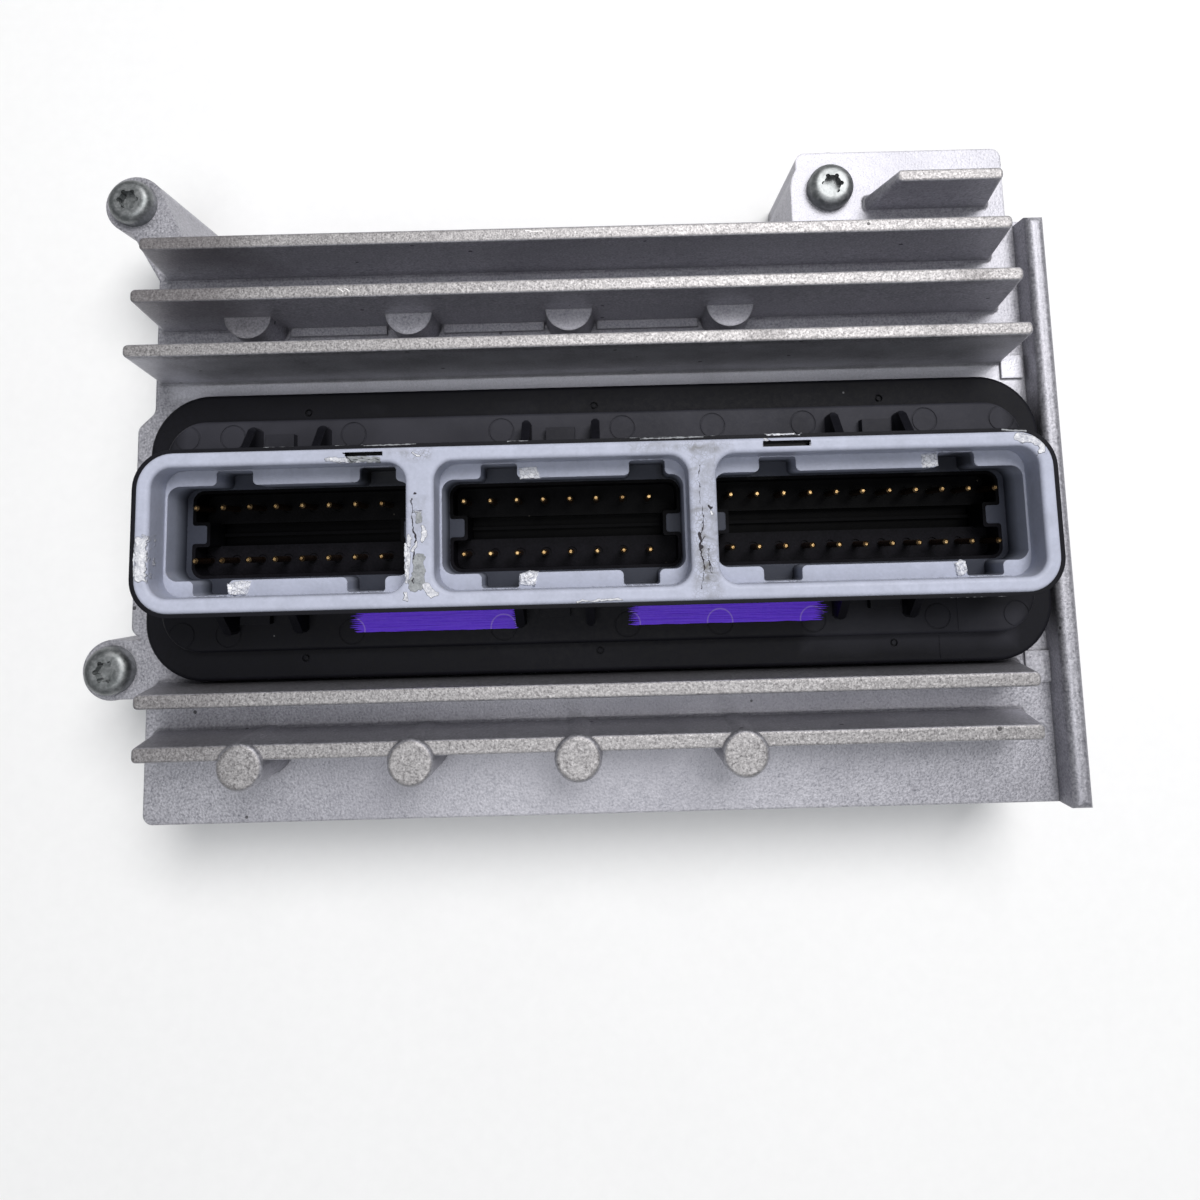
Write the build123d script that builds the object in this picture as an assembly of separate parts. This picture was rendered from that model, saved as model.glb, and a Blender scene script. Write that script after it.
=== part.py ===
from build123d import *
import os
from math import cos, radians, sin, tan

# Fuel injection control module: a finned aluminium casting that carries a three-socket pin
# header on its front, with a power board and a logic board inside and a plate over the rear.
# Millimetres. Z is up, out of the sockets. Z = 0 is the rear face, and X = Y = 0 is the middle
# of the header. X runs along the sockets.

os.makedirs("parts", exist_ok=True)

# Heights, from the rear face up
cover_thick = 3.0
ceiling_z = 28.0          # inner face of the casting's floor, seen from inside
floor_z = 32.0            # outer face of the casting's floor
band_z = 38.0             # lower step of the header's flange
plateau_z = 42.0          # upper step of the header's flange
collar_z = 61.5           # top of the black collar round the tower
web_z = 33.0              # underside of the web that holds the pins
block_base_z = 36.0
block_floor_z = 42.0      # where the pins leave their blocks
shroud_base_z = 45.5
shroud_floor_z = 47.5     # floor of the grey sockets
ledge_z = 55.8            # top of the keying pads
rim_z = 62.0
pin_tip_z = 49.5
pin_tail_z = 19.6
skirt_end_z = 25.5
gasket_depth = 1.2

# Casting outline, and the low wall along its right edge
case_left = -90.6
case_left_wide = -94.0    # beside the header the casting is wider
case_right = 93.2
case_bottom = -56.0
case_top = 58.5
wing_left = 44.2          # the wing carries the short fin
wing_right = 88.0
wing_top = 78.3
wall = 3.6
edge_wall_x = 89.4
edge_wall_top_z = 38.4

# Fins: y of the middle line, height of the tip and its thickness. They rise towards the header.
fin_draft = 1.3
fin_end_slope = 10.0
fin_foot = 0.5            # flare where a fin meets the floor
fin_tip_round = 0.4
fin_left, fin_right = -85.7, 80.7
fins = {
    "first": (55.35, 51.0, 2.5),
    "second": (44.4, 53.6, 2.5),
    "third": (33.5, 55.6, 2.4),
    "fourth": (-30.3, 47.5, 2.65),
    "fifth": (-39.7, 47.5, 2.8),
}
short_fin = (66.7, 47.0, 2.3)
short_fin_left, short_fin_right = 60.9, 81.5
boss_x = (-68.2, -36.3, -4.5, 27.5)
boss_radius = 5.0
boss_top_z = 42.0
boss_inset = 1.15         # from the second fin's middle line to the bosses' centres
pillar_x = (-65.8, -34.8, -4.4, 26.0)
pillar_y = -42.1
pillar_radius = 4.6
pillar_top_z = 48.5
floor_strips = ((-62.5, -42.6), (-30.8, -10.0), (1.0, 22.0))
strip_height = 1.0
pad_height = 0.8
floor_pads = ((84.3, 88.7, 28.4, 33.2), (84.6, 89.5, -33.0, -26.8))

# Ears with the long case screws: x, y, radius of the column
ears = ((51.1, 70.2, 8.2), (-96.3, 70.6, 6.2), (-97.5, -26.0, 6.0))
case_screw_radius = 2.5
case_head_radius = 4.75
case_head_height = 3.4

# Header
flange_half_x, flange_half_y, flange_radius = 88.6, 28.1, 11.8
plateau_half_x, plateau_half_y, plateau_radius = 84.0, 22.6, 8.0
tower_half_x, tower_half_y, tower_radius = 80.3, 14.6, 6.9
rib_root_y = tower_half_y - 0.8
shroud_half_x, shroud_half_y, shroud_radius = 79.4, 13.8, 6.1
skirt_half_x, skirt_half_y = 77.0, 9.6

# Pins
pin_pitch = 4.915
pin_row_half = 4.88
socket_gap = 3.09         # pitches between the end pins of two sockets
pin_radius = 0.55
columns = (8, 8, 11)

# Sockets: x of the opening at the rim
socket_x = ((-76.9, -32.8), (-27.9, 16.1), (20.9, 76.9))
socket_half_y = 11.2
socket_radius = 3.4
pad_inner_y = 8.4
keyway_half_y = 11.0
ledge_inset = 0.4         # step at the pads' height in the sockets' ends
pad_end_radius = 2.1
pad_corner_radius = 0.9
keyway_corner_radius = 0.5
rim_round = 0.8
rim_slots = ((-43.2, -36.7, 12.4, 13.1), (29.2, 37.5, 12.2, 13.2))
rim_slot_depth = 1.8
keyway_x = (
    (((-67.8, -61.3), (-42.2, -35.7)), ((-71.6, -65.2), (-44.3, -37.6))),
    (((-20.5, -14.0), (6.1, 12.5)), ((-20.5, -13.9), (4.6, 11.0))),
    (((29.4, 36.0), (61.5, 68.0)), ((29.4, 36.2), (65.3, 71.8))),
)

# Pin blocks, which fill the holes in the shroud's floors
block_x = ((-75.5, -33.3), (-27.4, 15.7), (21.4, 75.5))
block_half_y = 8.2
block_radius = 2.2
block_wall = 0.6
notch_radius = 0.5
tab_length = 2.7
tab_half_width = 1.7
trench_half_y = 2.1
trench_z = 39.5
pin_well_radius = 1.0     # shallow counterbore where a pin leaves its block
pin_well_depth = 0.35
names = ("left", "centre", "right")

# Latch ribs and catches on the plateau, and the round marks of the mould's ejectors
latch_reach = {1: 20.3, -1: 18.8}     # y of the ribs' outer ends above and below the tower
catch_reach = {1: 19.0, -1: 17.0}
catch_half_width = 2.8
catch_height = 2.2
rib_half_width = 0.8
rib_point = 0.5
latches = (
    (((-65.3, -52.0), -60.7), ((-69.2, -56.0), -64.8)),
    (((-13.0, 0.2), -6.6), ((-14.6, -1.6), -8.2)),
    (((45.8, 58.9), 54.4), ((45.2, 58.6), 54.0)),
)
ejector_y = 18.8
ejector_x = (-79.4, -70.5, -47.0, -18.2, 5.4, 23.0, 40.7, 64.4, 79.4)
witness_lines = ((68.2, -21.8, -15.5, plateau_z), (65.8, -27.2, -22.9, band_z))
gate_marks = ((-57, 24), (0, 24), (57, 24), (-57, -24), (0, -24), (57, -24))

# Boards
power_board_z = 21.4      # lower face
board_thick = 1.6
power_board_x = 83.0
power_board_y = (-46.0, 48.0)
logic_board_z = 7.4       # lower face
logic_board_x = 62.0
logic_board_y = (-47.0, -7.0)
transistor_x = (-66, -52, -38, -24, -10, 10, 24, 38, 52, 66)
transistor_rows = (35.0, -33.0)
transistor_height = 4.4
capacitor_x = (-66, -50, -34, -18)
inductor_x = (12, 44)
coil_y = 30.0

# Fasteners
rear_bolt_x, rear_bolt_y = 78.0, 46.0     # tapped holes for the vehicle's bracket
rear_bolt_radius = 2.5
rear_bolt_depth = 8.0
board_screw_radius = 1.25
board_posts = ((-78, 43), (0, 44), (78, 43), (-78, -41), (0, -41.5), (78, -41))
logic_posts = ((-58, -43), (58, -43), (-58, -11), (58, -11))
rear_screw_radius = 1.65
rear_screws_at = (
    (-85.6, -51.0), (0, -51.0), (87.4, -50.2), (-85.6, 53.4),
    (-30, 53.4), (87.2, 56.2), (-88.8, 2), (87.6, 2),
)
header_screw_radius = 1.5
header_screws_at = ((-60, 14.5), (0, 14.5), (60, 14.5), (-60, -14.5), (0, -14.5), (60, -14.5))


def block(x0, x1, y0, y1, z0, z1):
    """A plain box between two corners."""
    return Pos((x0 + x1) / 2, (y0 + y1) / 2, (z0 + z1) / 2) * Box(x1 - x0, y1 - y0, z1 - z0)


def post(x, y, radius, z0, z1):
    """An upright cylinder."""
    return Pos(x, y, (z0 + z1) / 2) * Cylinder(radius, z1 - z0)


def plate(half_x, half_y, radius, z0, z1, draft=0.0):
    """A rounded rectangle about the Z axis, drafted inwards as it rises."""
    return Pos(0, 0, z0) * extrude(RectangleRounded(2 * half_x, 2 * half_y, radius), z1 - z0, taper=draft)


def window(x0, x1, half_y, radius, z0, z1):
    """A rounded rectangle from x0 to x1."""
    shape = Pos((x0 + x1) / 2, 0, z0) * RectangleRounded(x1 - x0, 2 * half_y, radius)
    return extrude(shape, z1 - z0)


def pin_columns():
    """The x of every pin column, socket by socket."""
    span = (sum(columns) - len(columns) + socket_gap * (len(columns) - 1)) * pin_pitch
    x = -span / 2
    sockets = []
    for count in columns:
        sockets.append([x + pin_pitch * i for i in range(count)])
        x = sockets[-1][-1] + socket_gap * pin_pitch
    return sockets


def case_face(inset=0.0):
    """The casting's outline as a face, without its ears."""
    points = [
        (case_left, case_bottom),
        (case_left, -21.6),
        (case_left_wide, -18.4),
        (case_left_wide, 22.6),
        (case_left, 25.8),
        (case_left, case_top),
        (wing_left, case_top),
        (wing_left, wing_top),
        (wing_right, wing_top),
        (wing_right, 62.0),
        (case_right, 62.0),
        (case_right, case_bottom),
    ]
    face = make_face(Polyline(*points, close=True))
    face = fillet(face.vertices(), 2.0)
    if inset:
        face = offset(face, -inset, kind=Kind.INTERSECTION)
    return face


def fin(left, right, middle_y, top_z, tip):
    """A drafted cooling fin with sloping ends, a rounded tip and a flared foot."""
    corner = 0.9
    middle = Pos((left + right) / 2, middle_y, 0)
    height = top_z - floor_z
    thick = tip + 2 * height * tan(radians(fin_draft))
    long = right - left + 2 * height * tan(radians(fin_end_slope))
    root = middle * Pos(0, 0, floor_z) * RectangleRounded(long, thick, corner)
    crest = middle * Pos(0, 0, top_z) * RectangleRounded(right - left, tip, corner)
    blade = loft([root.face(), crest.face()])
    blade = fillet(blade.edges().group_by(Axis.Z)[-1], fin_tip_round)
    foot = RectangleRounded(long + 2 * fin_foot, thick + 2 * fin_foot, corner + fin_foot)
    blade += middle * Pos(0, 0, floor_z) * extrude(foot, fin_foot, taper=45)
    return blade + middle * Pos(0, 0, floor_z - 0.25) * Box(long, thick, 0.5)


def arm_face():
    """The slanting arm that ties the upper left ear to the casting's corner."""
    return make_face(Polyline((-97.0, 64.8), (-90.4, 72.4), (-83.0, 57.5), (-89.5, 52.0), close=True))


def ear_columns():
    """The ears' columns with the arms that join them to the casting."""
    shape = Part()
    for x, y, radius in ears:
        shape += Pos(x, y, cover_thick) * extrude(Circle(radius), floor_z - cover_thick)
    right, left_top, left_low = ears
    shape += block(right[0] - right[2], right[0] + right[2], case_top - 1, right[1], cover_thick, floor_z)
    shape += Pos(0, 0, cover_thick) * extrude(arm_face(), floor_z - cover_thick)
    shape += block(left_low[0], case_left + 1, left_low[1] - 5.8, left_low[1] + 5.8, cover_thick, floor_z)
    return shape


def inner_posts():
    """Bosses that hang from the casting's ceiling and carry the boards and the rear screws."""
    shape = Part()
    for x, y in board_posts:
        shape += post(x, y, 3.6, power_board_z + board_thick, ceiling_z)
    for x, y in rear_screws_at:
        shape += post(x, y, 4.0, cover_thick, ceiling_z)
    return shape


def heat_sink_housing():
    """The casting: walls, floor with the header window, fins, bosses, pillars and ears."""
    body = Pos(0, 0, cover_thick) * extrude(case_face(), floor_z - cover_thick)
    body += ear_columns()
    body -= Pos(0, 0, cover_thick) * extrude(case_face(wall), ceiling_z - cover_thick)
    body += inner_posts()

    # low wall along the right edge, with a rounded crest
    edge = block(edge_wall_x, case_right, case_bottom, 61.0, floor_z, edge_wall_top_z)
    edge = fillet(edge.edges().group_by(Axis.Z)[-1], 1.5)
    body += edge

    for values in fins.values():
        body += fin(fin_left, fin_right, *values)
    body += fin(short_fin_left, short_fin_right, *short_fin)

    # ejector bosses against the second fin, and the low strips between them
    boss_y = fins["second"][0] - boss_inset
    for x in boss_x:
        round_boss = Pos(x, boss_y, floor_z) * extrude(Circle(boss_radius), boss_top_z - floor_z, taper=2)
        body += round_boss - block(x - 9, x + 9, boss_y + 2, boss_y + 9, floor_z, boss_top_z)
    for x0, x1 in floor_strips:
        body += block(x0, x1, boss_y - 2.3, boss_y, floor_z, floor_z + strip_height)

    # round pillars against the fifth fin
    for x in pillar_x:
        pillar = Pos(x, pillar_y, floor_z) * extrude(Circle(pillar_radius), pillar_top_z - floor_z, taper=1)
        body += fillet(pillar.edges().group_by(Axis.Z)[-1], 0.9)

    for pad in floor_pads:
        body += block(*pad, floor_z, floor_z + pad_height)

    # seat and opening for the header, and the screw holes
    gap = 0.15
    seat = plate(flange_half_x + gap, flange_half_y + gap, flange_radius + gap, floor_z, band_z)
    body -= seat
    body -= plate(skirt_half_x, skirt_half_y, 3.0, ceiling_z - 1, floor_z + 1)
    for x, y in header_screws_at:
        body -= post(x, y, header_screw_radius, ceiling_z - 1, floor_z + 1)
    for x, y in board_posts:
        body -= post(x, y, board_screw_radius, power_board_z, ceiling_z + 2)
    for x, y in rear_screws_at:
        body -= post(x, y, rear_screw_radius, cover_thick - 1, 16)
    for x, y, radius in ears:
        body -= post(x, y, case_screw_radius + 0.25, 0, floor_z + 1)
    return body


def rear_cover():
    """The rear plate, with a register lip, tapped bosses for the bracket and a shallow field."""
    shape = extrude(case_face(), cover_thick)
    for x, y, radius in ears:
        shape += post(x, y, radius, 0, cover_thick)
    shape += extrude(arm_face(), cover_thick)
    right, left_top, left_low = ears
    shape += block(right[0] - right[2], right[0] + right[2], case_top - 1, right[1], 0, cover_thick)
    shape += block(left_low[0], case_left + 1, left_low[1] - 5.8, left_low[1] + 5.8, 0, cover_thick)
    for x in (-rear_bolt_x, rear_bolt_x):
        for y in (-rear_bolt_y, rear_bolt_y):
            shape += post(x, y, 5.0, cover_thick, rear_bolt_depth + 1.5)
            shape -= post(x, y, rear_bolt_radius, -1, rear_bolt_depth)
    for half_x, half_y in ((66, 36), (54, 24)):
        bead = plate(half_x, half_y, 8, -1, 0.7)
        shape -= bead - plate(half_x - 2, half_y - 2, 6, -2, 1)
    for x, y in rear_screws_at:
        shape -= post(x, y, 1.9, -1, cover_thick + 1)
        shape -= Pos(x, y, 1.0) * Cone(3.9, 1.9, 2.0)
    for x, y, radius in ears:
        shape -= post(x, y, case_screw_radius, -1, cover_thick + 1)
    return shape - gasket_ring()


def gasket_ring():
    """The seal between the casting's wall and the rear plate, in a groove of the plate."""
    ring = case_face(1.1) - case_face(2.5)
    return Pos(0, 0, cover_thick - gasket_depth) * extrude(ring, gasket_depth)


def header_base():
    """The black moulding: stepped flange, tower collar, latch ribs, skirt and pin web."""
    body = plate(flange_half_x, flange_half_y, flange_radius, floor_z, band_z, draft=1)
    body = fillet(body.edges().group_by(Axis.Z)[-1], 0.8)
    step = plate(plateau_half_x, plateau_half_y, plateau_radius, band_z - 1, plateau_z, draft=6)
    body += fillet(step.edges().group_by(Axis.Z)[-1], 0.7)
    body += plate(tower_half_x, tower_half_y, tower_radius, band_z, collar_z, draft=0.4)
    body += latch_features()

    # pocket for the grey shroud, and the room for the three pin blocks below it
    body -= plate(shroud_half_x, shroud_half_y, shroud_radius, shroud_base_z, rim_z)
    for x0, x1 in block_x:
        body -= carrier(x0, x1, 0, block_base_z, shroud_floor_z)

    # skirt that reaches through the casting's window to the power board
    body += plate(skirt_half_x - 0.1, skirt_half_y - 0.1, 2.9, skirt_end_z, floor_z)
    body -= plate(skirt_half_x - 2, skirt_half_y - 2, 1.5, skirt_end_z - 1, web_z)

    body -= seal_ring()

    for x in sum(pin_columns(), []):
        for y in (-pin_row_half, pin_row_half):
            body -= post(x, y, pin_radius, skirt_end_z - 1, rim_z)
    for x, y in header_screws_at:
        body -= post(x, y, header_screw_radius, floor_z - 1, plateau_z - 2)
    for x, y in gate_marks:
        ring = post(x, y, 0.75, band_z - 0.6, band_z + 1)
        body -= ring - post(x, y, 0.4, band_z - 1, band_z + 2)
    for x in ejector_x:
        for y in (-ejector_y, ejector_y):
            ring = post(x, y, 2.5, plateau_z - 0.15, plateau_z + 1)
            body -= ring - post(x, y, 2.25, plateau_z - 1, plateau_z + 2)
    for x, y0, y1, z in witness_lines:
        body -= block(x - 0.08, x + 0.08, y0, y1, z - 0.1, z + 1)
    return body


def latch_rib(x, side):
    """A wedge rib that braces the tower, where a plug's latch frame slides."""
    inner, outer = rib_root_y, latch_reach[side]
    outline = Polyline(
        (inner, plateau_z - 1), (outer, plateau_z - 1), (outer, plateau_z + 3.5),
        (inner, plateau_z + 9.8), close=True,
    )
    rib = extrude(Plane.YZ * make_face(outline), rib_half_width, both=True)
    rib = chamfer(rib.edges().filter_by(Axis.Z).group_by(Axis.Y)[-1], rib_point)
    if side < 0:
        rib = mirror(rib, about=Plane.XZ)
    return Pos(x, 0, 0) * rib


def latch_features():
    """Three pairs of ribs above the tower and three below, each with a catch between them."""
    shape = Part()
    for above, below in latches:
        for side, (ribs, catch) in ((1, above), (-1, below)):
            for x in ribs:
                shape += latch_rib(x, side)
            y0, y1 = sorted((side * rib_root_y, side * catch_reach[side]))
            left, right = catch - catch_half_width, catch + catch_half_width
            shape += block(left, right, y0, y1, plateau_z - 1, plateau_z + catch_height)
    return shape


def seal_ring():
    """The rubber ring in the groove under the flange."""
    ring = plate(83.4, 22.4, 9, floor_z, floor_z + gasket_depth)
    return ring - plate(81.0, 20.0, 7, floor_z - 1, floor_z + 2 * gasket_depth)


def socket_shroud():
    """The grey moulding that lines the tower: rim, three openings, keying pads and floors."""
    body = plate(shroud_half_x, shroud_half_y, shroud_radius, shroud_base_z, rim_z)
    for socket, (x0, x1) in enumerate(socket_x):
        body -= window(x0, x1, socket_half_y, socket_radius, ledge_z, rim_z + 1)
        body -= keyed_cavity(socket, x0 + ledge_inset, x1 - ledge_inset)
    body = fillet(body.edges().group_by(Axis.Z)[-1], rim_round)
    for x0, x1 in block_x:
        body -= carrier(x0, x1, 0, shroud_base_z - 1, shroud_floor_z + 1)
    for slot in rim_slots:
        body -= block(*slot, rim_z - rim_slot_depth, rim_z + 1)
    return body


def at_height(vertices, y):
    """The vertices that lie as far as y from the X axis."""
    return [v for v in vertices if abs(abs(v.Y) - y) < 0.01]


def upright_edges(solid, y):
    """The vertical edges that stand as far as y from the X axis."""
    return [e for e in solid.edges().filter_by(Axis.Z) if abs(abs(e.center().Y) - y) < 0.01]


def keyed_cavity(socket, x0, x1):
    """The room of a socket between its keying pads, with the keyways that part them."""
    room = block(x0, x1, -pad_inner_y, pad_inner_y, shroud_floor_z, ledge_z)
    for side, keyways in zip((1, -1), keyway_x[socket]):
        for left, right in keyways:
            room += block(left, right, *sorted((0, side * keyway_half_y)), shroud_floor_z, ledge_z)
    ends = [e for e in upright_edges(room, pad_inner_y) if min(e.center().X - x0, x1 - e.center().X) < 0.01]
    room = fillet(ends, pad_end_radius)
    reach = pad_end_radius + 0.1
    pads = [e for e in upright_edges(room, pad_inner_y) if min(e.center().X - x0, x1 - e.center().X) > reach]
    room = fillet(pads, pad_corner_radius)
    return fillet(upright_edges(room, keyway_half_y), keyway_corner_radius)


def carrier(x0, x1, inset, z0, z1):
    """A pin block's prism: a rounded rectangle with a notch for the shroud's tab in each end."""
    left, right = x0 + inset, x1 - inset
    half_y = block_half_y - inset
    side = tab_half_width + inset
    face = Pos((left + right) / 2, 0) * Rectangle(right - left, 2 * half_y)
    for end, turn in ((left, 1), (right, -1)):
        face -= Pos(end, 0) * Rectangle(2 * tab_length, 2 * side)
    face = fillet(at_height(face.vertices(), half_y), block_radius - inset)
    face = fillet(at_height(face.vertices(), side), notch_radius)
    return Pos(0, 0, z0) * extrude(face, z1 - z0)


def pin_block(x0, x1, xs):
    """The black carrier of one socket's pins: a cup with a trench between the two rows."""
    body = carrier(x0, x1, 0, block_base_z, shroud_floor_z)
    body -= carrier(x0, x1, block_wall, block_floor_z, rim_z)
    reach = tab_length + block_wall
    body -= block(x0 + reach, x1 - reach, -trench_half_y, trench_half_y, trench_z, block_floor_z + 1)
    body += block(x0 + reach, x1 - reach, -0.3, 0.3, trench_z - 0.5, trench_z + 1.1)
    for x in xs:
        for y in (-pin_row_half, pin_row_half):
            body -= post(x, y, pin_radius, block_base_z - 1, block_floor_z + 1)
            body -= post(x, y, pin_well_radius, block_floor_z - pin_well_depth, block_floor_z + 1)
    return body


def terminal_pins(xs):
    """One socket's pins, from the solder tails under the power board to the blunt tips."""
    taper = 0.3
    pins = []
    for x in xs:
        for y in (-pin_row_half, pin_row_half):
            pin = post(x, y, pin_radius, pin_tail_z, pin_tip_z - taper)
            pin += Pos(x, y, pin_tip_z - taper / 2) * Cone(pin_radius, pin_radius * 0.5, taper)
            pins.append(pin)
    return Compound(children=pins)


def six_lobe(radius, depth):
    """A six-lobe driver recess, opening upwards from Z = -depth to Z = 0."""
    profile = Circle(radius * 0.78)
    for turn in range(6):
        angle = radians(60 * turn)
        profile += Pos(radius * 0.8 * cos(angle), radius * 0.8 * sin(angle)) * Circle(radius * 0.2)
    return Pos(0, 0, -depth) * extrude(profile, depth + 1)


def pan_screw(head_radius, head_height, shank_radius, shank_length, recess_radius):
    """A pan-head screw whose head stands on Z = 0 and whose shank points down."""
    head = Cylinder(head_radius, head_height)
    head = Pos(0, 0, head_height / 2) * fillet(head.edges().group_by(Axis.Z)[-1], head_height * 0.55)
    screw = head + Pos(0, 0, -shank_length / 2) * Cylinder(shank_radius, shank_length)
    return screw - Pos(0, 0, head_height) * six_lobe(recess_radius, head_height * 0.62)


def inner_screw(head_radius, shank_radius, shank_length):
    """A plain hexagon-socket screw for inside, with its head below Z = 0 and its shank pointing up."""
    head_height = 2.0
    head = Pos(0, 0, -head_height / 2) * Cylinder(head_radius, head_height)
    head = chamfer(head.edges().group_by(Axis.Z)[0], 0.5)
    screw = head + Pos(0, 0, shank_length / 2) * Cylinder(shank_radius, shank_length)
    return screw - Pos(0, 0, -head_height) * extrude(RegularPolygon(head_radius / 2, 6), 1.2)


def case_screws():
    """The three long screws in the ears, driven down into the rear plate."""
    screw = pan_screw(case_head_radius, case_head_height, case_screw_radius, floor_z - 0.4, 2.3)
    return Compound(children=[Pos(x, y, floor_z) * screw for x, y, radius in ears])


def rear_screws():
    """The countersunk screws that hold the rear plate to the casting's inner posts."""
    shank = post(0, 0, rear_screw_radius, 1.5, 13)
    screw = shank + Pos(0, 0, 1.0) * Cone(3.9, 1.9, 2.0)
    screw -= Pos(0, 0, -0.5) * extrude(RegularPolygon(1.6, 6), 1.8)
    return Compound(children=[Pos(x, y, 0) * screw for x, y in rear_screws_at])


def header_screws():
    """The screws that pull the header onto the casting from inside."""
    screw = inner_screw(2.9, header_screw_radius, 11)
    return Compound(children=[Pos(x, y, ceiling_z) * screw for x, y in header_screws_at])


def power_board():
    """The board that the header's pins are soldered to."""
    board = block(-power_board_x, power_board_x, *power_board_y, power_board_z, power_board_z + board_thick)
    board = fillet(board.edges().filter_by(Axis.Z), 3)
    for x, y in board_posts + logic_posts:
        board -= post(x, y, board_screw_radius, power_board_z - 1, power_board_z + 3)
    for x in sum(pin_columns(), []):
        for y in (-pin_row_half, pin_row_half):
            board -= post(x, y, pin_radius, power_board_z - 1, power_board_z + 3)
    return board


def logic_board():
    """The smaller board that hangs under the power board on spacers."""
    top = logic_board_z + board_thick
    board = block(-logic_board_x, logic_board_x, *logic_board_y, logic_board_z, top)
    board = fillet(board.edges().filter_by(Axis.Z), 2)
    for x, y in logic_posts:
        board -= post(x, y, board_screw_radius, logic_board_z - 1, top + 1)
    return board


def power_board_screws():
    """The screws that hold the power board up against the casting's posts."""
    screw = inner_screw(2.7, board_screw_radius, 7.5)
    return Compound(children=[Pos(x, y, power_board_z) * screw for x, y in board_posts])


def logic_board_spacers():
    """Hexagonal spacers between the two boards."""
    low = logic_board_z + board_thick
    spacer = extrude(RegularPolygon(3.0, 6), power_board_z - low)
    spacer -= post(0, 0, board_screw_radius, -1, power_board_z)
    return Compound(children=[Pos(x, y, low) * spacer for x, y in logic_posts])


def logic_board_screws():
    """The screws into both ends of each spacer."""
    screw = inner_screw(2.7, board_screw_radius, 6)
    screws = []
    for x, y in logic_posts:
        screws.append(Pos(x, y, power_board_z + board_thick) * Rot(180, 0, 0) * screw)
        screws.append(Pos(x, y, logic_board_z) * screw)
    return Compound(children=screws)


def power_transistors():
    """Two rows of power transistors that press against the casting's floor."""
    z = power_board_z + board_thick
    body = block(-5.0, 5.0, -4.4, 4.4, z, z + transistor_height)
    body = chamfer(body.edges().group_by(Axis.Z)[-1], 0.5)
    return Compound(children=[Pos(x, y, 0) * body for y in transistor_rows for x in transistor_x])


def transistor_leads():
    """Three bent legs on each transistor, standing on the board."""
    z = power_board_z + board_thick
    outline = Polyline((-4.4, z + 2.2), (-6.2, z + 2.2), (-6.9, z + 0.5), (-8.6, z + 0.5), (-8.6, z),
                       (-6.5, z), (-5.8, z + 1.7), (-4.4, z + 1.7), close=True)
    leg = extrude(Plane.YZ * make_face(outline), 0.4, both=True)
    legs = []
    for y in transistor_rows:
        for x in transistor_x:
            legs += [Pos(x + offset_x, y, 0) * leg for offset_x in (-2.54, 0, 2.54)]
    return Compound(children=legs)


def heat_foils():
    """The insulating strips between the transistors and the casting."""
    z = power_board_z + board_thick + transistor_height
    strips = [block(-73, 73, y - 4.0, y + 4.0, z, ceiling_z) for y in transistor_rows]
    return Compound(children=strips)


def storage_capacitors():
    """Upright can capacitors that hang from the power board's underside."""
    height = 14.0
    half = Polyline((0, 0), (5.9, 0), (6.25, 0.4), (6.25, 10.6), (5.8, 11.2), (6.25, 11.8), (6.25, height),
                    (0, height), close=True)
    can = revolve(Plane.XZ * make_face(half), Axis.Z)
    return Compound(children=[Pos(x, coil_y, power_board_z - height) * can for x in capacitor_x])


def inductor_cores():
    """Drum cores of the booster that charges the injector circuit."""
    height = 13.6
    half = Polyline((0, 0), (12, 0), (12, 2), (6, 2), (6, height - 2), (12, height - 2), (12, height), (0, height),
                    close=True)
    core = revolve(Plane.XZ * make_face(half), Axis.Z)
    return Compound(children=[Pos(x, coil_y, power_board_z - height) * core for x in inductor_x])


def inductor_coils():
    """Copper windings on the drum cores, with rounded turns."""
    height = 13.6
    turns = 6
    turn = (height - 4) / turns
    coil = Part()
    for i in range(turns):
        coil += post(0, 0, 11.2 - 0.5 * (i % 2), 2 + turn * i, 2 + turn * (i + 1))
    coil -= post(0, 0, 6, 0, height)
    return Compound(children=[Pos(x, coil_y, power_board_z - height) * coil for x in inductor_x])


def board_link():
    """The plug on the power board and the receptacle on the logic board."""
    low = logic_board_z + board_thick
    middle = (low + power_board_z) / 2
    y = -14.0
    receptacle = block(-22, 22, y - 3.2, y + 3.2, low, middle)
    receptacle -= block(-20.6, 20.6, y - 1.8, y + 1.8, middle - 3, middle + 1)
    plug = block(-22, 22, y - 3.2, y + 3.2, middle, power_board_z)
    plug += block(-20.6, 20.6, y - 1.8, y + 1.8, middle - 3, middle)
    return receptacle, plug


def chip(width, depth, height, x, y):
    """A flat chip package on the logic board's upper face."""
    z = logic_board_z + board_thick
    return block(x - width / 2, x + width / 2, y - depth / 2, y + depth / 2, z + 0.3, z + height)


def chip_leads(width, depth, pitch, x, y):
    """Rows of gull-wing leads along two sides of a chip."""
    z = logic_board_z + board_thick
    count = int(width / pitch) - 1
    leads = []
    for i in range(count):
        at = x + (i - (count - 1) / 2) * pitch
        for side in (-1, 1):
            near, far = sorted((y + side * depth / 2, y + side * (depth / 2 + 1.6)))
            leads.append(block(at - pitch / 4, at + pitch / 4, near, far, z, z + 0.5))
    return leads


chips = {
    "processor": (20.0, 20.0, 1.8, 2.0, -34.0, -34.0),
    "memory_chip": (12.0, 8.0, 1.6, 2.0, -36.0, -14.0),
    "supply_chip": (14.0, 9.0, 2.2, 2.0, 0.0, -36.0),
    "injector_driver": (18.0, 10.0, 2.2, 2.0, 34.0, -34.0),
    "bus_chip": (8.0, 6.0, 1.6, 2.0, 36.0, -14.0),
}


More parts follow.
